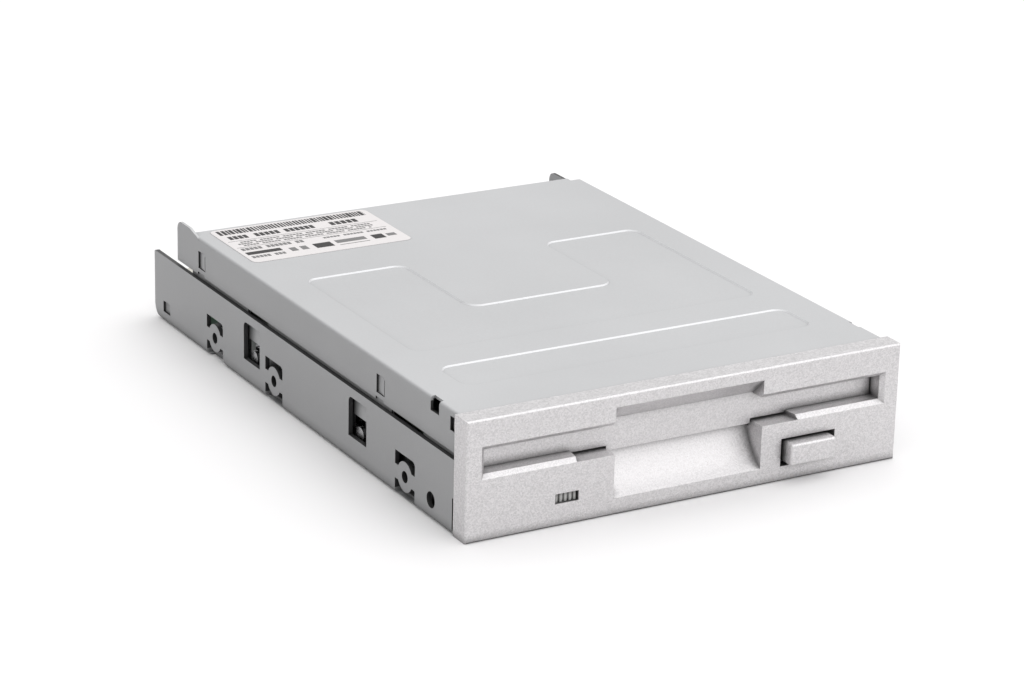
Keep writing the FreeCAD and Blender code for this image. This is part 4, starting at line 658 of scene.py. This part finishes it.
# legs of the larger chips, in mm
chipLeads = {"wide": 0.3, "foot": 0.7, "thick": 0.15, "shoulder": 0.8, "pitch": 0.8, "margin": 0.6,
             "root": -0.05, "bendStart": 0.25, "bendMiddle": 0.35, "bendEnd": 0.4}


# three blocks for each leg: out of the chip, down, and along the board
def addLeads(shell, low, high):
    look = chipLeads
    floor = low.z / mm
    for axis, way in (("x", -1), ("x", 1), ("y", -1), ("y", 1)):
        spanLow, spanHigh = (low.y, high.y) if axis == "x" else (low.x, high.x)
        span = (spanHigh - spanLow) / mm
        count = int((span - look["margin"]) / look["pitch"])
        start = (span - (count - 1) * look["pitch"]) / 2
        for index in range(count):
            run = spanLow / mm + start + index * look["pitch"]
            edge = high if way > 0 else low
            root = (edge.x if axis == "x" else edge.y) / mm
            parts = [(look["root"], look["bendMiddle"], look["shoulder"] - look["thick"], look["shoulder"]),
                     (look["bendStart"], look["bendEnd"], 0, look["shoulder"]),
                     (look["bendStart"], look["foot"], 0, look["thick"])]
            for first, second, bottom, top in parts:
                near, far = sorted((root + first * way, root + second * way))
                bottom, top = floor + bottom, floor + top
                if axis == "x":
                    box = ((near, run - look["wide"] / 2, bottom), (far, run + look["wide"] / 2, top))
                else:
                    box = ((run - look["wide"] / 2, near, bottom), (run + look["wide"] / 2, far, top))
                addBlock(shell, Vector(box[0]) * mm, Vector(box[1]) * mm)


def buildLeads(shell):
    addLeads(shell, *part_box("controller_chip"))
    addLeads(shell, *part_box("motor_driver"))


meshPiece("chipLeads", emptyMesh("chipLeads", buildLeads), "screwSteel", "frame")
print("chip leads made")

# floor, backdrop and light; the sky is brighter on the side the glow points to, and a lamp that is
# glossOnly shows in the paint's shine alone
studio = {
    "floorHalf": 6.0, "floorThick": 0.02, "floorColour": (0.93, 0.922, 0.925), "floorCloud": 0.995,
    "floorThrow": 0.4, "floorRoughness": 0.6, "floorShine": 0.2,
    "skyLevel": 0.50, "glow": (0.12, -0.22, 0.86), "skyLeast": 0.04, "backgroundWhite": 1.0,
    "lamps": {
        "key": {"place": (0.45, 0.35, 1.30), "size": 1.4, "power": 3.0, "glossOnly": False},
        "card": {"place": (0.76, -0.84, 0.84), "size": 1.5, "power": 4.0, "glossOnly": True},
    },
}


# a pale floor that throws less light up at the part than it shows to the camera
def buildFloor(look):
    half = look["floorHalf"]
    material, shader = newMaterial("studioFloor")
    cloud = noise(material, 3.0, 2.0)
    colour = ramp(material, cloud, shade(look["floorColour"], look["floorCloud"]), look["floorColour"])
    scattered = addNode(material, "ShaderNodeLightPath").outputs["Is Diffuse Ray"]
    thrown = calc(material, "MULTIPLY_ADD", scattered, look["floorThrow"] - 1.0, 1.0)
    join(material, scaled(material, colour, thrown), shader, "Base Color")
    shader.inputs["Roughness"].default_value = look["floorRoughness"]
    shader.inputs["Specular IOR Level"].default_value = look["floorShine"]
    low, high = Vector((-half, -half, -look["floorThick"])), Vector((half, half, 0))
    mesh = emptyMesh("studioFloor", lambda shell: addBlock(shell, low, high))
    floor = bpy.data.objects.new("studioFloor", mesh)
    bpy.context.scene.collection.objects.link(floor)
    floor.data.materials.append(material)


# the sky's level rises evenly along the glow's direction; the camera sees plain white behind the part
def buildSky(look):
    world = bpy.data.worlds.new("studio")
    world.use_nodes = True
    world.node_tree.nodes.clear()
    bpy.context.scene.world = world
    way = addNode(world, "ShaderNodeTexCoord").outputs["Generated"]
    along = addNode(world, "ShaderNodeVectorMath", {0: way, 1: look["glow"]}, operation="DOT_PRODUCT")
    rise = calc(world, "ADD", along.outputs["Value"], look["skyLevel"])
    level = calc(world, "MAXIMUM", rise, look["skyLeast"])
    path = addNode(world, "ShaderNodeLightPath")
    seen = calc(world, "MAXIMUM", path.outputs["Is Camera Ray"], path.outputs["Is Transmission Ray"])
    lit = addNode(world, "ShaderNodeBackground", {"Color": (1, 1, 1, 1), "Strength": level}).outputs[0]
    white = addNode(world, "ShaderNodeBackground", {"Color": (1, 1, 1, 1), "Strength": look["backgroundWhite"]})
    mixed = addNode(world, "ShaderNodeMixShader", {0: seen, 1: lit, 2: white.outputs[0]}).outputs[0]
    addNode(world, "ShaderNodeOutputWorld", {"Surface": mixed})


def hangLamps(lamps):
    for name, lamp in lamps.items():
        light = bpy.data.lights.new(name, "AREA")
        light.shape = "DISK"
        light.size = lamp["size"]
        light.energy = lamp["power"]
        holder = bpy.data.objects.new(name, light)
        holder.location = lamp["place"]
        holder.rotation_euler = (-Vector(lamp["place"])).to_track_quat("-Z", "Y").to_euler()
        holder.visible_diffuse = not lamp["glossOnly"]
        bpy.context.scene.collection.objects.link(holder)


buildFloor(studio)
buildSky(studio)
hangLamps(studio["lamps"])
bpy.context.scene.view_settings.view_transform = "Standard"
print("studio lit")
